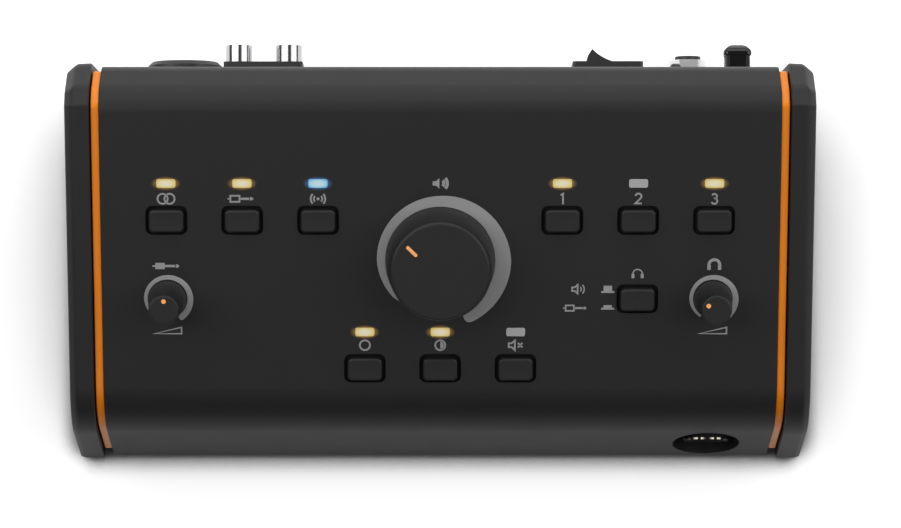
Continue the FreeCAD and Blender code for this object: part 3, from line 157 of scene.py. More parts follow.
class MonitorSizes(bpy.types.PropertyGroup):
    """Sizes of the pieces that a maker may change."""
    key_width: FloatProperty(name="Key width", description="Width of a key cap",
                             default=10.5 * MM, unit="LENGTH")
    key_depth: FloatProperty(name="Key depth", description="Depth of a key cap",
                             default=6.8 * MM, unit="LENGTH")
    key_edge: FloatProperty(name="Key edge", description="Rounding round the top of a key cap",
                            default=0.7 * MM, unit="LENGTH")
    knob_edge: FloatProperty(name="Knob edge", description="Rounding round the large knob's top",
                             default=1.1 * MM, unit="LENGTH")
    sheet_edge: FloatProperty(name="Sheet edge", description="Softening of folded, punched edges",
                              default=0.3 * MM, unit="LENGTH")
    mark_line: FloatProperty(name="Mark line", description="Line width of the printed marks",
                             default=0.48 * MM, unit="LENGTH")
    light_width: FloatProperty(name="Light width", description="Width of a light window",
                               default=5.8 * MM, unit="LENGTH")
    light_depth: FloatProperty(name="Light depth", description="Depth of a light window",
                               default=2.65 * MM, unit="LENGTH")
    camera_height: FloatProperty(name="Camera height", description="Camera above the table",
                                 default=1.1743, unit="LENGTH")


class MonitorColours(bpy.types.PropertyGroup):
    """Colours of the finishes."""
    coat: FloatVectorProperty(name="Coat", description="Powder coat of the folded body",
                              subtype="COLOR", size=3, default=(0.009, 0.009, 0.0094))
    cheek: FloatVectorProperty(name="Cheek", description="Moulded end cheeks", subtype="COLOR",
                               size=3, default=(0.0115, 0.0115, 0.012))
    accent: FloatVectorProperty(name="Accent", description="Plates between body and cheeks",
                                subtype="COLOR", size=3, default=(0.98, 0.265, 0.008))
    cap: FloatVectorProperty(name="Cap", description="Key caps and knobs", subtype="COLOR",
                             size=3, default=(0.016, 0.016, 0.016))
    mark: FloatVectorProperty(name="Mark", description="Printed rings, numbers and symbols",
                              subtype="COLOR", size=3, default=(0.3, 0.3, 0.3))
    pointer: FloatVectorProperty(name="Pointer", description="Inlaid pointers of the knobs",
                                 subtype="COLOR", size=3, default=(0.92, 0.39, 0.12))
    amber_light: FloatVectorProperty(name="Amber light", description="Lit amber windows",
                                     subtype="COLOR", size=3, default=(0.93, 0.78, 0.34))
    blue_light: FloatVectorProperty(name="Blue light", description="Lit blue window",
                                    subtype="COLOR", size=3, default=(0.4, 0.78, 0.95))


# ---- shapes: each is a list of points and a list of faces --------------------------------
def joined(*shapes):
    points, faces = [], []
    for more_points, more_faces in shapes:
        start = len(points)
        points += more_points
        faces += [tuple(start + i for i in face) for face in more_faces]
    return points, faces


def moved(shape, x=0.0, y=0.0, z=0.0, turn=0.0, scale=1.0):
    """Scale a shape, turn it in its plane and move it."""
    across, along = cos(turn) * scale, sin(turn) * scale
    points = [(x + p[0] * across - p[1] * along, y + p[0] * along + p[1] * across, z + p[2] * scale)
              for p in shape[0]]
    return points, shape[1]


def facing_rear(shape, x, y, z):
    """Turn a shape drawn about Z so that its Z points to the rear."""
    return [(x + p[0], y + p[2], z - p[1]) for p in shape[0]], shape[1]


def facing_front(shape, x, y, z):
    return [(x + p[0], y - p[2], z + p[1]) for p in shape[0]], shape[1]


def facing_down(shape, x, y, z):
    return [(x + p[0], y - p[1], z - p[2]) for p in shape[0]], shape[1]


def on_panel(x, u):
    return PANEL @ Matrix.Translation(Vector((x, u, 0)) * MM)


def loft(rings):
    """Closed skin through rings of equally many points, with a face over each end."""
    count = len(rings[0])
    points = [tuple(p) for ring in rings for p in ring]
    faces = [(r * count + i, r * count + (i + 1) % count,
              (r + 1) * count + (i + 1) % count, (r + 1) * count + i)
             for r in range(len(rings) - 1) for i in range(count)]
    last = (len(rings) - 1) * count
    return points, faces + [tuple(reversed(range(count))), tuple(range(last, last + count))]


def turned(profile, segments=96, ring=False):
    """Solid of revolution about Z from (radius, height) points, or a ring if the profile closes."""
    points, rows = [], []
    for radius, height in profile:
        start = len(points)
        count = segments if radius > 0 else 1
        points += [(radius * cos(2 * pi * k / count), radius * sin(2 * pi * k / count), height)
                   for k in range(count)]
        rows.append(range(start, start + count))
    faces = []
    for low, high in zip(rows, rows[1:] + rows[:1] if ring else rows[1:]):
        for i in range(segments):
            around = (low[i % len(low)], low[(i + 1) % len(low)],
                      high[(i + 1) % len(high)], high[i % len(high)])
            face = tuple(dict.fromkeys(around))
            if len(face) > 2:
                faces.append(face)
    return points, faces


def rounded_corners(corners, radii, steps):
    """Points along a closed outline with an arc at each corner."""
    points = []
    for i, (radius, count) in enumerate(zip(radii, steps)):
        here = Vector(corners[i])
        back = Vector(corners[i - 1]) - here
        ahead = Vector(corners[(i + 1) % len(corners)]) - here
        half = back.angle(ahead) / 2
        reach = min(radius / tan(half), 0.49 * min(back.length, ahead.length))
        radius = reach * tan(half)
        back, ahead = back.normalized(), ahead.normalized()
        centre = here + (back + ahead).normalized() * (radius / sin(half))
        start, end = here + back * reach - centre, here + ahead * reach - centre
        sweep = (pi - 2 * half) * (1 if start.x * end.y > start.y * end.x else -1)
        first = atan2(start.y, start.x)
        for k in range(count + 1):
            angle = first + sweep * k / count
            points.append((centre.x + radius * cos(angle), centre.y + radius * sin(angle)))
    return points


def rectangle(width, depth, radius, x=0.0, y=0.0, steps=6):
    half_w, half_d = width / 2, depth / 2
    corners = [(x - half_w, y - half_d), (x + half_w, y - half_d),
               (x + half_w, y + half_d), (x - half_w, y + half_d)]
    return rounded_corners(corners, [radius] * 4, [steps] * 4)


def block(width, depth, radius, levels, x=0.0, y=0.0, steps=6):
    """Rounded block through levels of (growth, height)."""
    rings = []
    for grow, height in levels:
        corner = max(radius + grow, 0.02)
        sides = rectangle(width + 2 * grow, depth + 2 * grow, corner, x, y, steps)
        rings.append([(px, py, height) for px, py in sides])
    return loft(rings)


def eased(top, edge, count=5):
    """Levels that round an edge of the given radius up to a height."""
    return [(-edge * (1 - cos(k * pi / 2 / count)), top - edge * (1 - sin(k * pi / 2 / count)))
            for k in range(count + 1)]


def arc(radius, first, last, count=24, x=0.0, y=0.0):
    """Points on an arc; angles in degrees, counter-clockwise from the right."""
    return [(x + radius * cos(radians(first + (last - first) * k / count)),
             y + radius * sin(radians(first + (last - first) * k / count)))
            for k in range(count + 1)]


def ribbon(path, width, closed=False):
    """Flat band of even width along a path."""
    spots = [Vector(p) for p in path]
    count = len(spots)
    points = []
    for i, here in enumerate(spots):
        steps = []
        if closed or i > 0:
            steps.append((here - spots[i - 1]).normalized())
        if closed or i < count - 1:
            steps.append((spots[(i + 1) % count] - here).normalized())
        along = sum(steps, Vector((0.0, 0.0))).normalized()
        side = Vector((-along.y, along.x)) * (width / 2 / max(0.4, along.dot(steps[0])))
        for spot in (here + side, here - side):
            points.append((spot.x, spot.y, 0.0))
    spans = count if closed else count - 1
    return points, [(2 * i, 2 * i + 1, 2 * ((i + 1) % count) + 1, 2 * ((i + 1) % count))
                    for i in range(spans)]


def patch(outline):
    """Flat filled outline, counter-clockwise."""
    return [(x, y, 0.0) for x, y in outline], [tuple(range(len(outline)))]


# ---- pieces ------------------------------------------------------------------------------
def skin(name, shape, finish, place=Matrix(), closed=True, smooth=SMOOTH_ANGLE, own_frame=False):
    """Object with a smooth-shaded mesh whose edges turn sharp above an angle.

    Its place goes into the mesh, unless a finish is laid out in the piece's own frame.
    """
    points, faces = shape
    mesh = bpy.data.meshes.new(name)
    mesh.from_pydata([Vector(p) * MM for p in points], [], faces)
    if not own_frame:
        mesh.transform(place)
    if closed:
        work = bmesh.new()
        work.from_mesh(mesh)
        bmesh.ops.recalc_face_normals(work, faces=work.faces)
        work.to_mesh(mesh)
        work.free()
    mesh.polygons.foreach_set("use_smooth", [True] * len(mesh.polygons))
    mesh.set_sharp_from_angle(angle=radians(smooth))
    if finish:
        mesh.materials.append(finish)
    piece = bpy.data.objects.new(name, mesh)
    bpy.context.scene.collection.objects.link(piece)
    if own_frame:
        piece.matrix_world = place
    return piece


def fit(piece, body="case", stands_for=()):
    """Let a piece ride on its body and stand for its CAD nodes."""
    even = piece.modifiers.new("even shading", "WEIGHTED_NORMAL")
    even.keep_sharp = True
    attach(piece, body)
    if stands_for:
        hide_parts(*stands_for)
    return piece


def punch(piece, cutters):
    """Cut closed shapes out of a piece."""
    holder = bpy.data.collections.new("cutters")
    bpy.context.scene.collection.children.link(holder)
    for i, (shape, place) in enumerate(cutters):
        tool = skin("cutter_%d" % i, shape, None, place)
        bpy.context.scene.collection.objects.unlink(tool)
        holder.objects.link(tool)
    modifier = piece.modifiers.new("punch", "BOOLEAN")
    modifier.operation, modifier.solver = "DIFFERENCE", "EXACT"
    modifier.operand_type, modifier.collection = "COLLECTION", holder
    bpy.context.view_layer.update()
    graph = bpy.context.evaluated_depsgraph_get()
    mesh = bpy.data.meshes.new_from_object(piece.evaluated_get(graph))
    if not mesh.polygons:
        raise RuntimeError("nothing is left of " + piece.name)
    piece.modifiers.clear()
    piece.data = mesh
    for tool in list(holder.objects):
        bpy.data.objects.remove(tool)
    bpy.data.collections.remove(holder)
    mesh.polygons.foreach_set("use_smooth", [True] * len(mesh.polygons))
    mesh.set_sharp_from_angle(angle=radians(SMOOTH_ANGLE))
    return piece


# ---- finishes ----------------------------------------------------------------------------
def finish(name, colour, roughness, grain=0.35, relief=0.02, mottle=0.12, **sockets):
    """Node material whose grain, in millimetres, varies tone and roughness and gives relief."""
    material = bpy.data.materials.get(name)
    if material:
        return material
    material = bpy.data.materials.new(name)
    material.use_nodes = True
    nodes, links = material.node_tree.nodes, material.node_tree.links
    shader = nodes["Principled BSDF"]
    place = nodes.new("ShaderNodeTexCoord")
    fine = nodes.new("ShaderNodeTexNoise")
    fine.inputs["Scale"].default_value = 1 / (grain * MM)
    fine.inputs["Detail"].default_value = 3.0
    broad = nodes.new("ShaderNodeTexNoise")
    broad.inputs["Scale"].default_value = 1 / (30 * grain * MM)
    tone = nodes.new("ShaderNodeMix")
    tone.data_type = "RGBA"
    tone.inputs["A"].default_value = [c * (1 - mottle) for c in colour] + [1.0]
    tone.inputs["B"].default_value = [c * (1 + mottle) for c in colour] + [1.0]
    both = nodes.new("ShaderNodeMath")
    both.operation = "MULTIPLY_ADD"
    both.inputs[1].default_value = 0.5
    sheen = nodes.new("ShaderNodeMapRange")
    sheen.inputs["To Min"].default_value = roughness * 0.88
    sheen.inputs["To Max"].default_value = min(1.0, roughness * 1.12)
    bump = nodes.new("ShaderNodeBump")
    bump.inputs["Distance"].default_value = relief * MM
    bump.inputs["Strength"].default_value = 1.0
    half = nodes.new("ShaderNodeMath")
    half.operation = "MULTIPLY"
    half.inputs[1].default_value = 0.5
    links.new(place.outputs["Object"], fine.inputs["Vector"])
    links.new(place.outputs["Object"], broad.inputs["Vector"])
    links.new(broad.outputs["Fac"], half.inputs[0])
    links.new(fine.outputs["Fac"], both.inputs[0])
    links.new(half.outputs["Value"], both.inputs[2])
    links.new(both.outputs["Value"], tone.inputs["Factor"])
    links.new(both.outputs["Value"], sheen.inputs["Value"])
    links.new(fine.outputs["Fac"], bump.inputs["Height"])
    links.new(tone.outputs["Result"], shader.inputs["Base Color"])
    links.new(sheen.outputs["Result"], shader.inputs["Roughness"])
    links.new(bump.outputs["Normal"], shader.inputs["Normal"])
    for socket, value in sockets.items():
        shader.inputs[socket.replace("_", " ")].default_value = value
    return material


def powder_coat(colours):
    return finish("powder_coat", colours.coat, COAT_ROUGHNESS, grain=0.3, relief=0.014, mottle=0.1,
                  Specular_IOR_Level=COAT_SHEEN)


def moulded_cheek(colours):
    return finish("moulded_cheek", colours.cheek, 0.48, grain=0.25, relief=0.012, mottle=0.08,
                  Specular_IOR_Level=0.38)


def accent_lacquer(colours):
    return finish("accent_lacquer", colours.accent, 0.24, grain=0.6, relief=0.004, mottle=0.04,
                  Specular_IOR_Level=0.2, Coat_Weight=0.2, Coat_Roughness=0.05)


def soft_cap(colours):
    return finish("soft_cap", colours.cap, 0.45, grain=0.2, relief=0.01, mottle=0.1,
                  Specular_IOR_Level=0.32)


def print_ink(colours):
    return finish("print_ink", colours.mark, 0.55, grain=0.25, relief=0.006, mottle=0.1,
                  Specular_IOR_Level=0.3)


# The pointers' finish also glows a little, painted light that brightens them though they are no lamp
def pointer_inlay(colours):
    return finish("pointer_inlay", colours.pointer, 0.4, grain=0.3, relief=0.006, mottle=0.05,
                  Emission_Color=(*colours.pointer, 1.0), Emission_Strength=0.15)


def socket_plastic():
    return finish("socket_plastic", (0.018, 0.018, 0.018), 0.42, grain=0.25, relief=0.01)


def gloss_plastic():
    return finish("gloss_plastic", (0.008, 0.008, 0.008), 0.12, grain=0.8, relief=0.004)


def lug_plate():
    return finish("lug_plate", (0.36, 0.34, 0.29), 0.2, grain=0.5, relief=0.002, mottle=0.04,
                  Metallic=1.0)


def nickel_plate():
    return finish("nickel_plate", (0.5, 0.5, 0.51), 0.16, grain=0.5, relief=0.002, mottle=0.04,
                  Metallic=1.0)


def satin_plate():
    return finish("satin_plate", (0.82, 0.82, 0.83), 0.36, grain=0.5, relief=0.002, mottle=0.04,
                  Metallic=1.0)


def warm_plate():
    return finish("warm_plate", (0.8, 0.62, 0.3), 0.2, grain=0.5, relief=0.002, mottle=0.06,
                  Metallic=1.0)


def turned_steel():
    return finish("turned_steel", (0.5, 0.5, 0.51), 0.3, grain=0.3, relief=0.004, Metallic=1.0)


def black_zinc():
    return finish("black_zinc", (0.06, 0.06, 0.062), 0.38, grain=0.3, relief=0.006, Metallic=0.8)


def foot_rubber():
    return finish("foot_rubber", (0.022, 0.022, 0.022), 0.75, grain=0.4, relief=0.03,
                  Specular_IOR_Level=0.25)


def board_laminate():
    return finish("board_laminate", (0.02, 0.11, 0.05), 0.4, grain=0.6, relief=0.01)


def capacitor_sleeve():
    return finish("capacitor_sleeve", (0.03, 0.03, 0.05), 0.3, grain=0.5, relief=0.004)


def cable_grey():
    return finish("cable_grey", (0.3, 0.3, 0.31), 0.5, grain=0.4, relief=0.02)


def clear_plastic():
    return finish("clear_plastic", (0.4, 0.4, 0.4), 0.4, grain=0.4, relief=0.004, mottle=0.05)


# Near-black, darker than the parts' own black: painted shade in the gaps round the keys and inside the
# headphone socket
def shade_black():
    return finish("shade_black", (0.006, 0.006, 0.006), 0.6, grain=0.3, relief=0.01,
                  Specular_IOR_Level=0.2)


def glow(material, width, depth, stops, strength):
    """Give a finish light that changes from a piece's middle outwards, over an oval."""
    nodes, links = material.node_tree.nodes, material.node_tree.links
    shader = nodes["Principled BSDF"]
    place = nodes.new("ShaderNodeTexCoord")
    stretch = nodes.new("ShaderNodeVectorMath")
    stretch.operation = "MULTIPLY"
    stretch.inputs[1].default_value = (2 / (width * MM), 2 / (depth * MM), 0.0)
    reach = nodes.new("ShaderNodeVectorMath")
    reach.operation = "LENGTH"
    ramp = nodes.new("ShaderNodeValToRGB")
    for i, (position, colour) in enumerate(stops):
        spots = ramp.color_ramp.elements
        spot = spots[i] if i < 2 else spots.new(position)
        spot.position, spot.color = position, [*colour, 1.0]
    links.new(place.outputs["Object"], stretch.inputs[0])
    links.new(stretch.outputs["Vector"], reach.inputs[0])
    links.new(reach.outputs["Value"], ramp.inputs["Fac"])
    links.new(ramp.outputs["Color"], shader.inputs["Emission Color"])
    shader.inputs["Emission Strength"].default_value = strength
    return material


def lit_plastic(name, colour, halo, width, depth):
    """Glowing window: pale in the middle, deeper in colour towards its ends."""
    material = finish(name, [c * 0.2 for c in colour], 0.35, grain=0.4, relief=0.003, mottle=0.04)
    pale = [c * 0.4 + 0.6 for c in colour]
    return glow(material, width, depth, ((0.3, pale), (1.4, halo), (0.9, colour)), 0.56)


def spill(name, colour, width, depth):
    """Coated sheet with light from a window on it, which fades to nothing at its rim."""
    coat = bpy.context.scene.monitor_colours.coat
    material = finish(name, coat, COAT_ROUGHNESS, grain=0.3, relief=0.014, mottle=0.1,
                      Specular_IOR_Level=COAT_SHEEN)
    dim = [c * 0.35 for c in colour]
    return glow(material, width, depth, ((0.6, colour), (1.0, (0.0, 0.0, 0.0)), (0.8, dim)), 1.0)


# ---- side profile ------------------------------------------------------------------------
def profile_corners():
    """Corners of the body's side profile, from the front foot over the top to the rear foot."""
    front = (FRONT_Y + FRONT_H * tan(RAKE), BASE_Z + FRONT_H)
    crest_y = REAR_Y - CREST_RUN - BACK_RUN
    crest = (crest_y, front[1] + (crest_y - front[0]) * tan(TILT))
    back = (crest[0] + CREST_RUN, crest[1] - CREST_RUN * tan(CREST_FALL))
    rear = (REAR_Y, back[1] - BACK_RUN * tan(BACK_FALL))
    return [(FRONT_Y, BASE_Z), front, crest, back, rear, (REAR_Y, BASE_Z)]


def outline(grow, radii):
    """Side profile with its front, panel, crest, back, rear and base moved out."""
    corners = [Vector(c) for c in profile_corners()]
    lines = []
    for i, here in enumerate(corners):
        along = (corners[(i + 1) % 6] - here).normalized()
        lines.append((here + Vector((-along.y, along.x)) * grow[i], along))
    points = []
    for i in range(6):
        (p, d), (q, e) = lines[i - 1], lines[i]
        step = ((q.x - p.x) * e.y - (q.y - p.y) * e.x) / (d.x * e.y - d.y * e.x)
        points.append(p + d * step)
    return rounded_corners(points, radii, ARC_STEPS)


def profile_ring(x, grow, radii):
    if isinstance(grow, (int, float)):
        grow = [grow] * 6
    return [(x, y, z) for y, z in outline(grow, radii)]


def softened(radii, inset):
    """Corner radii of a profile that is drawn in by inset."""
    return [max(r - inset, 0.1) for r in radii]


class MONITOR_OT_cover(bpy.types.Operator):
    """Make the folded cover with its punched panel"""
    bl_idname = "monitor.cover"
    bl_label = "Cover"

    def execute(self, context):
        sizes, colours = context.scene.monitor_sizes, context.scene.monitor_colours
        edge = sizes.sheet_edge / MM
        ends = []
        for side in (-1, 1):
            rings = [profile_ring(side * (BODY_HALF - edge + edge * sin(a)), -edge * (1 - cos(a)),
                                  softened(BODY_RADII, edge * (1 - cos(a))))
                     for a in (pi / 2, pi / 3, pi / 6, 0.0)]
            ends.append(rings)
        cover = skin("cover", loft(ends[0] + ends[1][::-1]), powder_coat(colours))
        punch(cover, self.openings(edge, sizes))
        fit(cover, stands_for=["top_cover"])
        return {"FINISHED"}

    def openings(self, edge, sizes):
        """Hollow of the cover and every hole in it, each with a softened rim."""
        inside = BODY_HALF - WALL
        hollow_grow = [-WALL] * 5 + [WALL]
        hollow_radii = softened(BODY_RADII, WALL)
        hollow = loft([profile_ring(x, hollow_grow, hollow_radii) for x in (-inside, inside)])
        back_gap = moved(block(2 * inside, 2 * WALL + 1, 0.2, [(0, BASE_Z - 1), (0, LIP_Z)]),
                         y=REAR_Y)
        tools = [(hollow, Matrix()), (back_gap, Matrix())]
        rim = [(edge, 0.4), (edge, 0.02), (0.3 * edge, -0.3 * edge), (0, -edge), (0, -2 * WALL)]
        key_w, key_d = sizes.key_width / MM + KEY_ROOM, sizes.key_depth / MM + KEY_ROOM
        light_w = sizes.light_width / MM + WINDOW_ROOM
        light_d = sizes.light_depth / MM + WINDOW_ROOM
        for name, (x, u) in KEYS.items():
            hole = block(key_w, key_d, KEY_HOLE_CORNER, rim[::-1], x, u, steps=8)
            tools.append((hole, PANEL))
            if name != "listen_key":
                slight = [(0.3 * g, z) for g, z in rim[::-1]]
                hole = block(light_w, light_d, WINDOW_HOLE_CORNER, slight, x, u + LIGHT_RISE)
                tools.append((hole, PANEL))
        for (x, u), radius in ((MAIN_KNOB, MAIN_HOLE_R), (AUX_KNOB, SMALL_HOLE_R),
                               (PHONES_KNOB, SMALL_HOLE_R)):
            hole = turned([(0, -3)] + [(radius + g, z) for g, z in rim[::-1]] + [(0, 0.4)], 48)
            tools.append((moved(hole, x, u), PANEL))
        hole = turned([(0, 0), (HEADPHONE_HOLE_R, 0), (HEADPHONE_HOLE_R, 14), (0, 14)], 96)
        tools.append((facing_front(hole, HEADPHONE[0], FRONT_Y + 12, HEADPHONE[2]), Matrix()))
        return tools


class MONITOR_OT_cheeks(bpy.types.Operator):
    """Make both end cheeks with their chamfered outer edge"""
    bl_idname = "monitor.cheeks"
    bl_label = "End cheeks"

    def slope(self, back, run, depth):
        """How far the chamfer has dropped at a distance back from the outer face."""
        share = 1.0 - back / run
        return depth * (share + hypot(share, CHEEK_SOFTNESS)) / 2

    def execute(self, context):
        colours = context.scene.monitor_colours
        land_x = BODY_HALF + PLATE_T
        inner, outer = land_x + LAND_T, land_x + LAND_T + CHEEK_T
        land_drop, edge, step = 5.0, CHEEK_EDGE, CHEEK_STEP
        inward = [(land_x, [land_drop] * 6), (inner, [land_drop] * 6), (inner, [edge] * 6)]
        inward += [(inner + edge * (1 - cos(a)), [edge * (1 - sin(a))] * 6)
                   for a in (pi / 8, pi / 4, 3 * pi / 8, pi / 2)]
        count = int(max(run for run, _ in CHEEK_SLOPES) / step) + 2
        outward = [(outer - k * step, [self.slope(k * step, *side) for side in CHEEK_SLOPES])
                   for k in range(count, -1, -1)]
        last = outward.pop()[1]
        outward += [(outer - back, [drop + more for drop in last]) for back, more in CHEEK_RIM]
        for side, name in ((-1, "left_cheek"), (1, "right_cheek")):
            rings = [profile_ring(side * x, [CHEEK_PROUD - drop for drop in drops],
                                  softened(CHEEK_RADII, 0.5 * (drops[0] + drops[1])))
                     for x, drops in inward + outward]
            fit(skin(name + "_moulding", loft(rings), moulded_cheek(colours), smooth=50.0),
                stands_for=[name])
        return {"FINISHED"}


class MONITOR_OT_accent_plates(bpy.types.Operator):
    """Make the lacquered plates between the body and the cheeks"""
    bl_idname = "monitor.accent_plates"
    bl_label = "Accent plates"

    def execute(self, context):
        colours = context.scene.monitor_colours
        edge = PLATE_EDGE
        for side, name in ((-1, "left_accent_plate"), (1, "right_accent_plate")):
            rings = []
            for x, inset in ((0, edge), (0.3 * edge, 0.3 * edge), (edge, 0), (PLATE_T - edge, 0),
                             (PLATE_T - 0.3 * edge, 0.3 * edge), (PLATE_T, edge)):
                grow = [-inside - inset for inside in PLATE_INSETS]
                rings.append(profile_ring(side * (BODY_HALF + x), grow, softened(PLATE_RADII, inset)))
            fit(skin(name + "_lacquered", loft(rings), accent_lacquer(colours)),
                stands_for=[name])
        return {"FINISHED"}


class MONITOR_OT_keys(bpy.types.Operator):
    """Make the ten key caps with their flanges and stems"""
    bl_idname = "monitor.keys"
    bl_label = "Keys"

    def dish(self, y, depth):
        """How far the top of a cap dips at a distance from its middle."""
        return KEY_DISH * (1 - min(1.0, (2 * y / depth) ** 2))

    def execute(self, context):
        sizes, colours = context.scene.monitor_sizes, context.scene.monitor_colours
        width, depth, edge = (v / MM for v in (sizes.key_width, sizes.key_depth, sizes.key_edge))
        for name, (x, u) in KEYS.items():
            low, proud = LISTEN_HEIGHTS if name == "listen_key" else KEY_HEIGHTS
            levels = [(0, CAP_LOW)] + eased(proud, edge)
            levels += [(-edge - inward, proud) for inward in (0.3, 0.7, 1.2, 1.7, 2.2, 2.6)]
            points, faces = block(width, depth, KEY_CORNER, levels, steps=8)
            points = [(px, py, pz - (self.dish(py, depth) if pz > 0 else 0.0)) for px, py, pz in points]
            skirt = block(width, depth, KEY_CORNER, [(FLANGE_GROW, FLANGE_LOW),
                                                     (FLANGE_GROW, FLANGE_TOP), (0, FLANGE_TOP)])
            stem = turned([(0, low), (STEM_R, low), (STEM_R, FLANGE_LOW), (0, FLANGE_LOW)], 32)
            place = on_panel(x, u)
            # the flange and stem are near-black, painted shade in the gap round the cap
            for part, shape, material in (("_cap", (points, faces), soft_cap(colours)),
                                          ("_skirt", joined(skirt, stem), shade_black())):
                fit(skin(name + part, shape, material, place), name, stands_for=[name])
        return {"FINISHED"}


class MONITOR_OT_light_windows(bpy.types.Operator):
    """Make the nine light windows over the keys"""
    bl_idname = "monitor.light_windows"
    bl_label = "Light windows"

    def rim(self, width, depth):
        """Flat surround of a window, just above the panel, that its light spills over."""
        inner = rectangle(width, depth, WINDOW_HOLE_CORNER)
        outer = rectangle(width + 2 * SPILL_ACROSS, depth + 2 * SPILL_ALONG, SPILL_CORNER)
        count = len(inner)
        faces = [(i, (i + 1) % count, count + (i + 1) % count, count + i) for i in range(count)]
        return [(x, y, SPILL_RISE) for x, y in inner + outer], faces

    def execute(self, context):
        sizes, colours = context.scene.monitor_sizes, context.scene.monitor_colours
        width, depth = sizes.light_width / MM, sizes.light_depth / MM
        amber = lit_plastic("amber_glow", colours.amber_light, (0.8, 0.6, 0.2), width, depth)
        blue = lit_plastic("blue_glow", colours.blue_light, (0.2, 0.5, 0.9), width, depth)
        reach = width + 2 * SPILL_ACROSS, depth + 2 * SPILL_ALONG
        amber_spill = spill("amber_spill", (0.26, 0.14, 0.025), *reach)
        blue_spill = spill("blue_spill", (0.03, 0.11, 0.26), *reach)
        for name, (x, u) in KEYS.items():
            if name == "listen_key":
                continue
            node, finish, spread = "amber_light_windows", amber, amber_spill
            if name == BLUE_LIGHT:
                node, finish, spread = "blue_light_window", blue, blue_spill
            elif name in DARK_LIGHTS:
                node, finish, spread = "clear_light_windows", clear_plastic(), None
            window = block(width, depth, WINDOW_CORNER, WINDOW_LEVELS + eased(0.2, 0.14, 3))
            place = on_panel(x, u + LIGHT_RISE)
            piece = skin(name.replace("_key", "_light"), window, finish, place, own_frame=True)
            fit(piece, stands_for=[node])
            if spread:
                rim = self.rim(width + WINDOW_ROOM, depth + WINDOW_ROOM)
                fit(skin(name.replace("_key", "_spill"), rim, spread, place, closed=False,
                         own_frame=True))
        return {"FINISHED"}


class MONITOR_OT_knobs(bpy.types.Operator):
    """Make the large knob and the two small knobs with their inlaid pointers"""
    bl_idname = "monitor.knobs"
    bl_label = "Knobs"

    def execute(self, context):
        sizes, colours = context.scene.monitor_sizes, context.scene.monitor_colours
        line = block(1.15, 4.4, 0.56, INLAY_LEVELS, steps=10)
        line = moved(line, y=LINE_OUT, turn=radians(-LINE_LEAN))
        dot = block(1.5, 1.5, 0.74, INLAY_LEVELS, y=DOT_OUT, steps=10)
        self.knob("main_knob", MAIN_KNOB, MAIN_KNOB_SIZE, sizes.knob_edge / MM, line,
                  "main_knob_line", colours, nut_room=NUT_ROOM)
        for name, spot in (("aux_knob", AUX_KNOB), ("phones_knob", PHONES_KNOB)):
            self.knob(name, spot, SMALL_KNOB_SIZE, SMALL_KNOB_EDGE, dot, name + "_dot", colours)
        return {"FINISHED"}

    def knob(self, name, spot, size, edge, inlay, inlay_node, colours, nut_room=None):
        """One tapered knob; size is its skirt radius, top radius and height."""
        base_r, top_r, height = size
        top = KNOB_LIFT + height
        taper = (base_r - top_r) / height
        side = [(base_r - 0.35, KNOB_LIFT), (base_r - 0.1, KNOB_LIFT + 0.1),
                (base_r - taper * 0.35, KNOB_LIFT + 0.35),
                (top_r + taper * edge * 1.6, top - edge * 1.6)]
        side += [(top_r + g, z) for g, z in eased(top, edge, 8)]
        bore = [(0, KNOB_LIFT + SHAFT_IN_KNOB), (SHAFT_R, KNOB_LIFT + SHAFT_IN_KNOB)]
        if nut_room:
            bore += [(SHAFT_R, nut_room[1]), nut_room, (nut_room[0], KNOB_LIFT)]
        else:
            bore.append((SHAFT_R, KNOB_LIFT))
        profile = bore + side + [(top_r - edge - 0.8, top), (0, top)]
        place = on_panel(*spot) @ Matrix.Rotation(radians(POINTER_TURN[name]), 4, "Z")
        body = skin(name + "_moulding", turned(profile, 160), soft_cap(colours), place)
        punch(body, [(moved(inlay, z=top - 0.02), place)])
        fit(body, name, stands_for=[name])
        pointer = skin(inlay_node + "_inlay", moved(inlay, z=top), pointer_inlay(colours), place)
        fit(pointer, name, stands_for=[inlay_node])


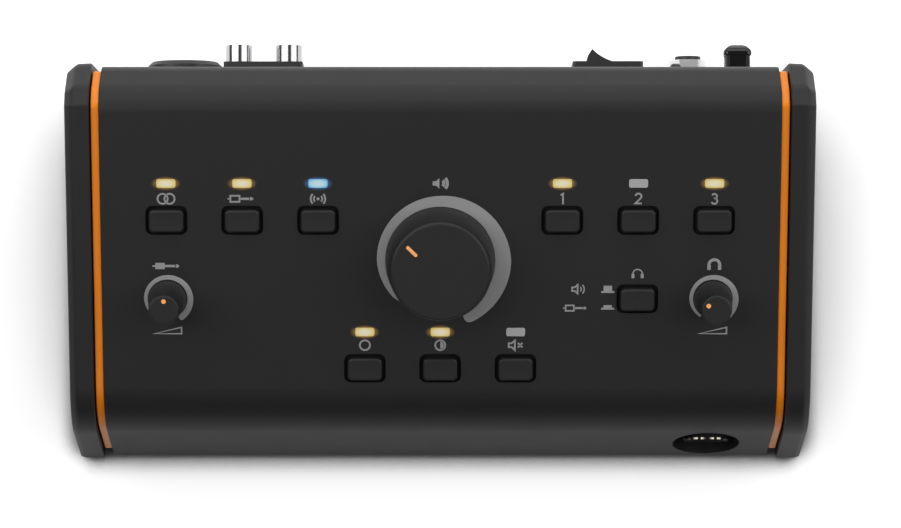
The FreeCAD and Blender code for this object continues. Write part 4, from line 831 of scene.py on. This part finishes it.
class MONITOR_OT_panel_marks(bpy.types.Operator):
    """Print the rings, numbers and line symbols on the panel"""
    bl_idname = "monitor.panel_marks"
    bl_label = "Panel marks"

    def execute(self, context):
        sizes, colours = context.scene.monitor_sizes, context.scene.monitor_colours
        self.thin = sizes.mark_line / MM
        self.bold = 2.0 * self.thin
        ink = print_ink(colours)
        rings = [moved(self.swell(*ring), *spot) for ring, spot in
                 ((MAIN_RING, MAIN_KNOB), (SMALL_RING, AUX_KNOB), (SMALL_RING, PHONES_KNOB))]
        self.print("knob_rings", joined(*rings), ink)
        labels = {"stereo_key": self.two_rings(), "aux_key": self.plug(self.thin),
                  "pair_key": self.radio(), "output_1_key": self.one(), "output_2_key": self.two(),
                  "output_3_key": self.three(), "mono_key": self.circle(),
                  "dim_key": self.half_circle(), "mute_key": self.crossed_speaker()}
        self.print("key_marks", joined(*(
            moved(shape, KEYS[name][0],
                  KEYS[name][1] + (LABEL_RISE if KEYS[name][1] > 0 else LOW_LABEL_RISE), scale=1.1)
            for name, shape in labels.items())), ink)
        self.print("knob_marks", joined(
            moved(joined(self.speaker(self.bold), self.waves(self.bold)), 0.0, 20.95, scale=1.2),
            moved(self.plug(self.bold), -82.9, -4.6, scale=1.15),
            moved(self.headphones(self.bold), 83.3, -4.3, scale=1.15),
            moved(self.wedge(), -83.1, -24.7), moved(self.wedge(), 83.1, -24.7)), ink)
        self.print("listen_marks", joined(
            moved(self.headphones(self.thin), 60.0, -7.1),
            moved(joined(self.speaker(self.thin), self.waves(self.thin)), 42.0, -11.8),
            moved(self.plug(self.thin), 41.4, -17.7),
            moved(self.key_sign(1.7), 51.0, -12.7), moved(self.key_sign(0.85), 51.0, -17.9)), ink)
        return {"FINISHED"}

    def print(self, name, shape, ink):
        piece = skin(name, moved(shape, z=0.02), ink, PANEL, closed=False)
        fit(piece)

    def swell(self, inner_r, widths):
        """Ring whose width grows clockwise; widths are (degrees clockwise from up, width)."""
        points, count = [], 240
        first, last = widths[0][0], widths[-1][0]
        for k in range(count + 1):
            angle = first + (last - first) * k / count
            for (a0, w0), (a1, w1) in zip(widths, widths[1:]):
                if a0 <= angle <= a1:
                    share = (angle - a0) / (a1 - a0)
                    width = w0 + (w1 - w0) * share
            end = min((last - angle) * radians(1) * (inner_r + width / 2) / (0.4 * width), 1.0)
            width_cut = 0.35 + 0.65 * (1 - (1 - end) ** 2) ** 0.5
            middle = inner_r + width / 2
            direction = (sin(radians(angle)), cos(radians(angle)))
            for radius in (middle + width / 2 * width_cut, middle - width / 2 * width_cut):
                points.append((radius * direction[0], radius * direction[1], 0.0))
        return points, [(2 * i, 2 * i + 1, 2 * i + 3, 2 * i + 2)[::-1] for i in range(count)]

    def circle(self):
        return ribbon(arc(1.4, 0, 345, 23), self.thin, closed=True)

    def two_rings(self):
        return joined(moved(self.circle(), -0.95), moved(self.circle(), 0.95))

    def half_circle(self):
        return joined(self.circle(), patch(arc(1.0, -90, 90, 16)))

    def plug(self, line):
        """Line plug lying on its side."""
        grip = [(-3.2, -0.85), (-0.7, -0.85), (-0.7, 0.85), (-3.2, 0.85)]
        body = patch(grip) if line > self.thin else ribbon(grip, line, closed=True)
        shaft = patch([(-0.7, -0.32), (2.0, -0.32), (2.0, 0.32), (-0.7, 0.32)])
        tip = patch([(2.2, -0.45), (2.7, -0.45), (3.2, 0.0), (2.7, 0.45), (2.2, 0.45)])
        lead = patch([(-4.0, -0.2), (-3.2, -0.2), (-3.2, 0.2), (-4.0, 0.2)])
        return joined(body, shaft, tip, lead)

    def radio(self):
        """Dot with waves to both sides."""
        waves = [ribbon(arc(r, first - 42, first + 42, 12), self.thin)
                 for r in (1.15, 2.0) for first in (0, 180)]
        return joined(patch(arc(0.42, 0, 345, 23)), *waves)

    def speaker(self, line):
        cone = [(-1.9, -0.55), (-1.1, -0.55), (-0.2, -1.35), (-0.2, 1.35), (-1.1, 0.55),
                (-1.9, 0.55)]
        if line > self.thin:
            return patch(cone)
        return ribbon(cone, line, closed=True)

    def waves(self, line):
        return joined(*(ribbon(arc(r, -42, 42, 12, x=-0.2), line * 0.8) for r in (1.1, 2.0)))

    def crossed_speaker(self):
        cross = [ribbon([(0.6, side * -0.65), (1.9, side * 0.65)], self.thin) for side in (-1, 1)]
        return joined(self.speaker(self.thin), *cross)

    def headphones(self, line):
        band = ribbon(arc(1.45, 0, 180, 20), line * 0.8)
        cups = [patch([(x - 0.45, -1.3), (x + 0.45, -1.3), (x + 0.45, 0.1), (x - 0.45, 0.1)])
                for x in (-1.4, 1.4)]
        return joined(band, *cups)

    def wedge(self):
        return ribbon([(-4.2, -1.0), (4.2, -1.0), (4.2, 1.0)], self.thin, closed=True)

    def key_sign(self, height):
        """Key seen from the side, standing out or pressed in."""
        return joined(patch([(-2.0, -0.27), (2.0, -0.27), (2.0, 0.27), (-2.0, 0.27)]),
                      patch([(-1.35, 0.27), (1.35, 0.27), (1.25, 0.27 + height),
                             (-1.25, 0.27 + height)]))

    def one(self):
        return ribbon([(-0.5, 1.0), (0.15, 1.42), (0.15, -1.5)], self.thin)

    def two(self):
        return ribbon(arc(0.82, 170, -30, 16, y=0.65) + [(-0.85, -1.3), (0.95, -1.3)], self.thin)

    def three(self):
        return joined(ribbon(arc(0.66, 160, -90, 16, y=0.72), self.thin),
                      ribbon(arc(0.8, 100, -160, 18, y=-0.62), self.thin))


class MONITOR_OT_fittings(bpy.types.Operator):
    """Make the headphone socket's nut and cup, the cable hook and the case screws"""
    bl_idname = "monitor.fittings"
    bl_label = "Fittings"

    def execute(self, context):
        self.headphone_collar()
        self.headphone_sleeve()
        self.headphone_lugs()
        self.hook()
        self.screws()
        return {"FINISHED"}

    def headphone_collar(self):
        """Body of the headphone socket's nut, in near-black that paints the shade inside the socket."""
        profile = [(4.55, 0), (7.1, 0), (7.25, 0.15), (7.25, 1.5), (7.0, 1.6), (7.0, 2.4),
                   (6.9, 2.7), (6.6, 3.0), (4.55, 3.0)]
        fit(skin("headphone_nut_collar", facing_front(turned(profile, 96, ring=True), *HEADPHONE),
                 shade_black()), stands_for=["headphone_nut"])

    def headphone_sleeve(self):
        """Cup of the headphone socket, in near-black that paints the shade inside it: a wall cut along
        the leaning face, and a floor.
        """
        centre_x, floor_y, centre_z = HEADPHONE
        rings = []
        for radius, depth in ((10.47, None), (10.3, None), (10.3, 0), (4.6, 0), (4.6, 0.8),
                              (10.47, 0.8)):
            circle = arc(radius, 0, 357, 119, centre_x, centre_z)
            rings.append([(x, FRONT_Y + (z - BASE_Z) * tan(RAKE) + 0.15 if depth is None else
                           floor_y + depth, z) for x, z in circle])
        points, faces = loft(rings + rings[:1])
        fit(skin("headphone_sleeve", (points, faces[:-2]), shade_black()),
            stands_for=["headphone_cup"])

    def headphone_lugs(self):
        """Bright crown of lugs round the nut."""
        lugs = []
        for k in range(LUGS):
            first = 360.0 / LUGS * k - LUG_SPAN / 2
            outline = arc(7.3, first, first + LUG_SPAN, 6) + arc(6.9, first + LUG_SPAN, first, 6)
            rings = [[(x * (1 - cut), y * (1 - cut), height) for x, y in outline]
                     for cut, height in ((0.008, 1.65), (0, 1.72), (0, 2.28), (0.008, 2.35))]
            lugs.append(loft(rings))
        fit(skin("headphone_nut_lugs", facing_front(joined(*lugs), *HEADPHONE), lug_plate()),
            stands_for=["headphone_nut"])

    def hook(self):
        """Hook that holds the supply's lead: a foot, two bars and a domed head."""
        foot = block(8.7, 12.0, 1.5, [(-0.1, 0), (0, 0.1)] + eased(1.5, 0.4, 4))
        bars = [block(7.6, 1.1, 0.45, [(0.25, 1.3), (0, 1.7), (0, 5.6), (0.2, 6.2)], y=side * 2.85)
                for side in (-1, 1)]
        ribs = [block(0.7, 0.5, 0.2, [(0, 1.4), (0, 5.9)], x=x, y=-3.3) for x in (-2.9, 2.9)]
        head = block(8.7, 6.8, 1.5, [(-0.5, 5.9), (-0.12, 6.02), (0, 6.3), (0, 7.2), (-0.3, 7.8),
                                     (-0.8, 8.3), (-1.4, 8.75), (-2.0, 9.08), (-2.6, 9.32),
                                     (-3.2, 9.48)], steps=8)
        shape = joined(foot, *bars, *ribs, head)
        fit(skin("cable_hook", facing_rear(shape, HOOK_X, REAR_Y, HOOK_Z), gloss_plastic(),
                 smooth=40.0), stands_for=["cable_clamp"])

    def screws(self):
        """Low-headed cross screws in the base and rear panel, and a domed one by the inlet."""
        profile = [(0, -4.5), (1.45, -4.5), (1.45, 0), (2.7, 0), (2.7, 0.2), (2.5, 0.4),
                   (1.9, 0.58), (1.0, 0.66), (0, 0.68)]
        screw = turned(profile, 40)
        cross = [block(*size, 0.05, [(-0.12, 0.1), (0, 1.0)], steps=1)
                 for size in ((0.55, 2.5), (2.5, 0.55))]
        shapes, recesses = [], []
        for side in (-1, 1):
            spots = [(facing_down, side * SCREW_X, y, BASE_Z) for y in SCREW_YS]
            spots += [(facing_rear, side * SCREW_X, REAR_Y, z) for z in SCREW_ZS]
            for facing, *spot in spots:
                shapes.append(facing(screw, *spot))
                recesses += [(facing(bar, *spot), Matrix()) for bar in cross]
        dome = [(0, -2.0), (1.4, -2.0), (1.4, 0), (1.7, 0), (1.7, 0.5)]
        dome += [(1.7 + g, z) for g, z in eased(1.6, 1.1, 6)[1:]] + [(0, 1.6)]
        shapes.append(facing_rear(turned(dome, 32), EARTH_SCREW_X, REAR_Y, EARTH_SCREW_Z))
        piece = skin("case_screw_heads", joined(*shapes), black_zinc())
        fit(punch(piece, recesses), stands_for=["case_screws"])


class MONITOR_OT_finish_parts(bpy.types.Operator):
    """Give every carried-over part its finish"""
    bl_idname = "monitor.finish_parts"
    bl_label = "Finish the other parts"

    def execute(self, context):
        colours = context.scene.monitor_colours
        finishes = {
            powder_coat(colours): ["base_plate", "rear_panel"],
            nickel_plate(): ["phono_shells", "main_pot_nut"],
            satin_plate(): ["dc_inlet_nut"],
            warm_plate(): ["phono_contacts"],
            turned_steel(): ["main_pot_shaft", "aux_pot_shaft", "phones_pot_shaft", "main_pot",
                             "small_pots", "board_spacers"],
            black_zinc(): ["cheek_screws", "board_screws"],
            foot_rubber(): ["feet"],
            board_laminate(): ["control_board", "lower_board"],
            # the jack inside the headphone socket is near-black, painted shade
            shade_black(): ["headphone_jack"],
            socket_plastic(): ["combo_jack", "line_jacks", "phono_base", "switch_housing",
                               "switch_rocker", "dc_inlet", "ribbon_headers", "key_switches",
                               "light_chips", "board_parts"],
            clear_plastic(): ["phono_insulators"],
            capacitor_sleeve(): ["capacitors"],
            cable_grey(): ["ribbon_cable"],
        }
        for material, names in finishes.items():
            for name in names:
                for slot in frame["nodes"][name].material_slots:
                    slot.material = material
        return {"FINISHED"}


class MONITOR_OT_studio(bpy.types.Operator):
    """Set the pale floor, the soft lamps, the world and the camera"""
    bl_idname = "monitor.studio"
    bl_label = "Studio"

    def execute(self, context):
        self.floor()
        for name, lamp in LAMPS.items():
            self.lamp(name, *lamp)
        self.world(context)
        self.camera(context)
        context.scene.view_settings.view_transform = "Standard"
        return {"FINISHED"}

    def floor(self):
        """Pale floor, white far off, whose glow fades and whose colour darkens where the object stands
        close over it, a painted shadow, and whose glow is raised behind the object, a painted light.
        """
        half = FLOOR_HALF / MM
        floor = skin("floor", patch([(-half, -half), (half, -half), (half, half), (-half, half)]),
                     None, closed=False)
        material = bpy.data.materials.new("studio_floor")
        material.use_nodes = True
        nodes, links = material.node_tree.nodes, material.node_tree.links
        shader = nodes["Principled BSDF"]
        shader.inputs["Roughness"].default_value = 0.9
        shader.inputs["Specular IOR Level"].default_value = 0.1
        shader.inputs["Emission Color"].default_value = (1.0, 1.0, 1.0, 1.0)

        def maths(operation, *values):
            node = nodes.new("ShaderNodeMath")
            node.operation = operation
            for socket, value in zip(node.inputs, values):
                if isinstance(value, float):
                    socket.default_value = value
                else:
                    links.new(value, socket)
            return node.outputs["Value"]

        def mapped(value, low, high, bottom, top):
            node = nodes.new("ShaderNodeMapRange")
            node.inputs["From Min"].default_value, node.inputs["From Max"].default_value = low, high
            node.inputs["To Min"].default_value, node.inputs["To Max"].default_value = bottom, top
            links.new(value, node.inputs["Value"])
            return node.outputs["Result"]

        def openness(reach):
            node = nodes.new("ShaderNodeAmbientOcclusion")
            node.samples = 16
            node.inputs["Distance"].default_value = reach
            return node.outputs["AO"]

        path = nodes.new("ShaderNodeLightPath").outputs
        split = nodes.new("ShaderNodeSeparateXYZ")
        here = nodes.new("ShaderNodeTexCoord").outputs["Object"]
        links.new(here, split.inputs["Vector"])
        reach = nodes.new("ShaderNodeVectorMath")
        reach.operation = "LENGTH"
        links.new(here, reach.inputs[0])
        far = maths("MULTIPLY", path["Is Camera Ray"],
                    mapped(reach.outputs["Value"], *FAR_OFF, 0.0, 1.0))
        close = mapped(openness(CONTACT_REACH), *CONTACT_OPEN, 0.0, 1.0)
        wide = mapped(openness(SHADE_REACH), *SHADE_OPEN, 0.05, 1.0)
        behind = mapped(split.outputs["Y"], *BEHIND_Y, 0.0, 1.2)
        mirrored = mapped(split.outputs["Y"], *MIRROR_Y, 0.15, 1.0)
        seen = maths("MAXIMUM", path["Is Camera Ray"],
                     maths("MULTIPLY", maths("MAXIMUM", path["Is Glossy Ray"],
                                             path["Is Transmission Ray"]), mirrored))
        # the glow fades near the object, a painted shade, and is raised behind it, a painted light
        shine = maths("MAXIMUM", maths("MULTIPLY", close, wide), behind)
        shine = maths("MULTIPLY", seen, maths("MULTIPLY", shine, FLOOR_GLOW))
        links.new(maths("MAXIMUM", shine, far), shader.inputs["Emission Strength"])
        # painted shadow: the floor's colour darkens where the object stands close over it, but not
        # behind it
        tone = mapped(maths("MAXIMUM", close, behind), 0.0, 1.0, *FLOOR_SHADE_TONES)
        links.new(tone, shader.inputs["Base Color"])
        floor.data.materials.append(material)

    def lamp(self, name, spot, size, power):
        light = bpy.data.lights.new(name, "AREA")
        light.shape, light.size, light.size_y = "RECTANGLE", *size
        light.energy = power
        lamp = bpy.data.objects.new(name, light)
        bpy.context.scene.collection.objects.link(lamp)
        lamp.location = spot
        aim = Vector(LAMP_AIM) - Vector(spot)
        lamp.rotation_euler = aim.to_track_quat("-Z", "Y").to_euler()

    def world(self, context):
        """Dim surround that looks white behind the floor."""
        world = bpy.data.worlds.new("studio")
        context.scene.world = world
        world.use_nodes = True
        nodes, links = world.node_tree.nodes, world.node_tree.links
        background = nodes["Background"]
        path = nodes.new("ShaderNodeLightPath")
        white = nodes.new("ShaderNodeMix")
        white.data_type = "RGBA"
        white.inputs["A"].default_value = (SURROUND, SURROUND, SURROUND, 1.0)
        white.inputs["B"].default_value = (1.0, 1.0, 1.0, 1.0)
        links.new(path.outputs["Is Camera Ray"], white.inputs["Factor"])
        links.new(white.outputs["Result"], background.inputs["Color"])

    def camera(self, context):
        data = bpy.data.cameras.new("camera")
        data.sensor_width, data.lens = 36.0, CAMERA_LENS
        data.shift_x, data.clip_end = CAMERA_SHIFT, 20.0
        camera = bpy.data.objects.new("camera", data)
        context.scene.collection.objects.link(camera)
        camera.location = (0.0, CAMERA_Y, context.scene.monitor_sizes.camera_height)
        camera.rotation_euler.x = CAMERA_LEAN
        context.scene.camera = camera


OPERATORS = (MONITOR_OT_cover, MONITOR_OT_cheeks, MONITOR_OT_accent_plates, MONITOR_OT_keys,
             MONITOR_OT_light_windows, MONITOR_OT_knobs, MONITOR_OT_panel_marks,
             MONITOR_OT_fittings, MONITOR_OT_finish_parts, MONITOR_OT_studio)


class MONITOR_PT_panel(bpy.types.Panel):
    """Sizes, colours and steps of the monitor controller"""
    bl_idname = "MONITOR_PT_panel"
    bl_label = "Monitor controller"
    bl_space_type = "VIEW_3D"
    bl_region_type = "UI"
    bl_category = "Monitor controller"

    def draw(self, context):
        for group in (context.scene.monitor_sizes, context.scene.monitor_colours):
            column = self.layout.column(align=True)
            for name in group.__annotations__:
                column.prop(group, name)
        for operator in OPERATORS:
            self.layout.operator(operator.bl_idname)


CLASSES = (MonitorSizes, MonitorColours, *OPERATORS, MONITOR_PT_panel)


def register():
    for cls in CLASSES:
        bpy.utils.register_class(cls)
    bpy.types.Scene.monitor_sizes = PointerProperty(type=MonitorSizes)
    bpy.types.Scene.monitor_colours = PointerProperty(type=MonitorColours)


def unregister():
    del bpy.types.Scene.monitor_colours
    del bpy.types.Scene.monitor_sizes
    for cls in reversed(CLASSES):
        bpy.utils.unregister_class(cls)


def main():
    """Make every piece in order."""
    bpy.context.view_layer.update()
    register()
    for operator in OPERATORS:
        getattr(bpy.ops.monitor, operator.bl_idname.split(".")[1])()


if __name__ == "__main__":
    main()
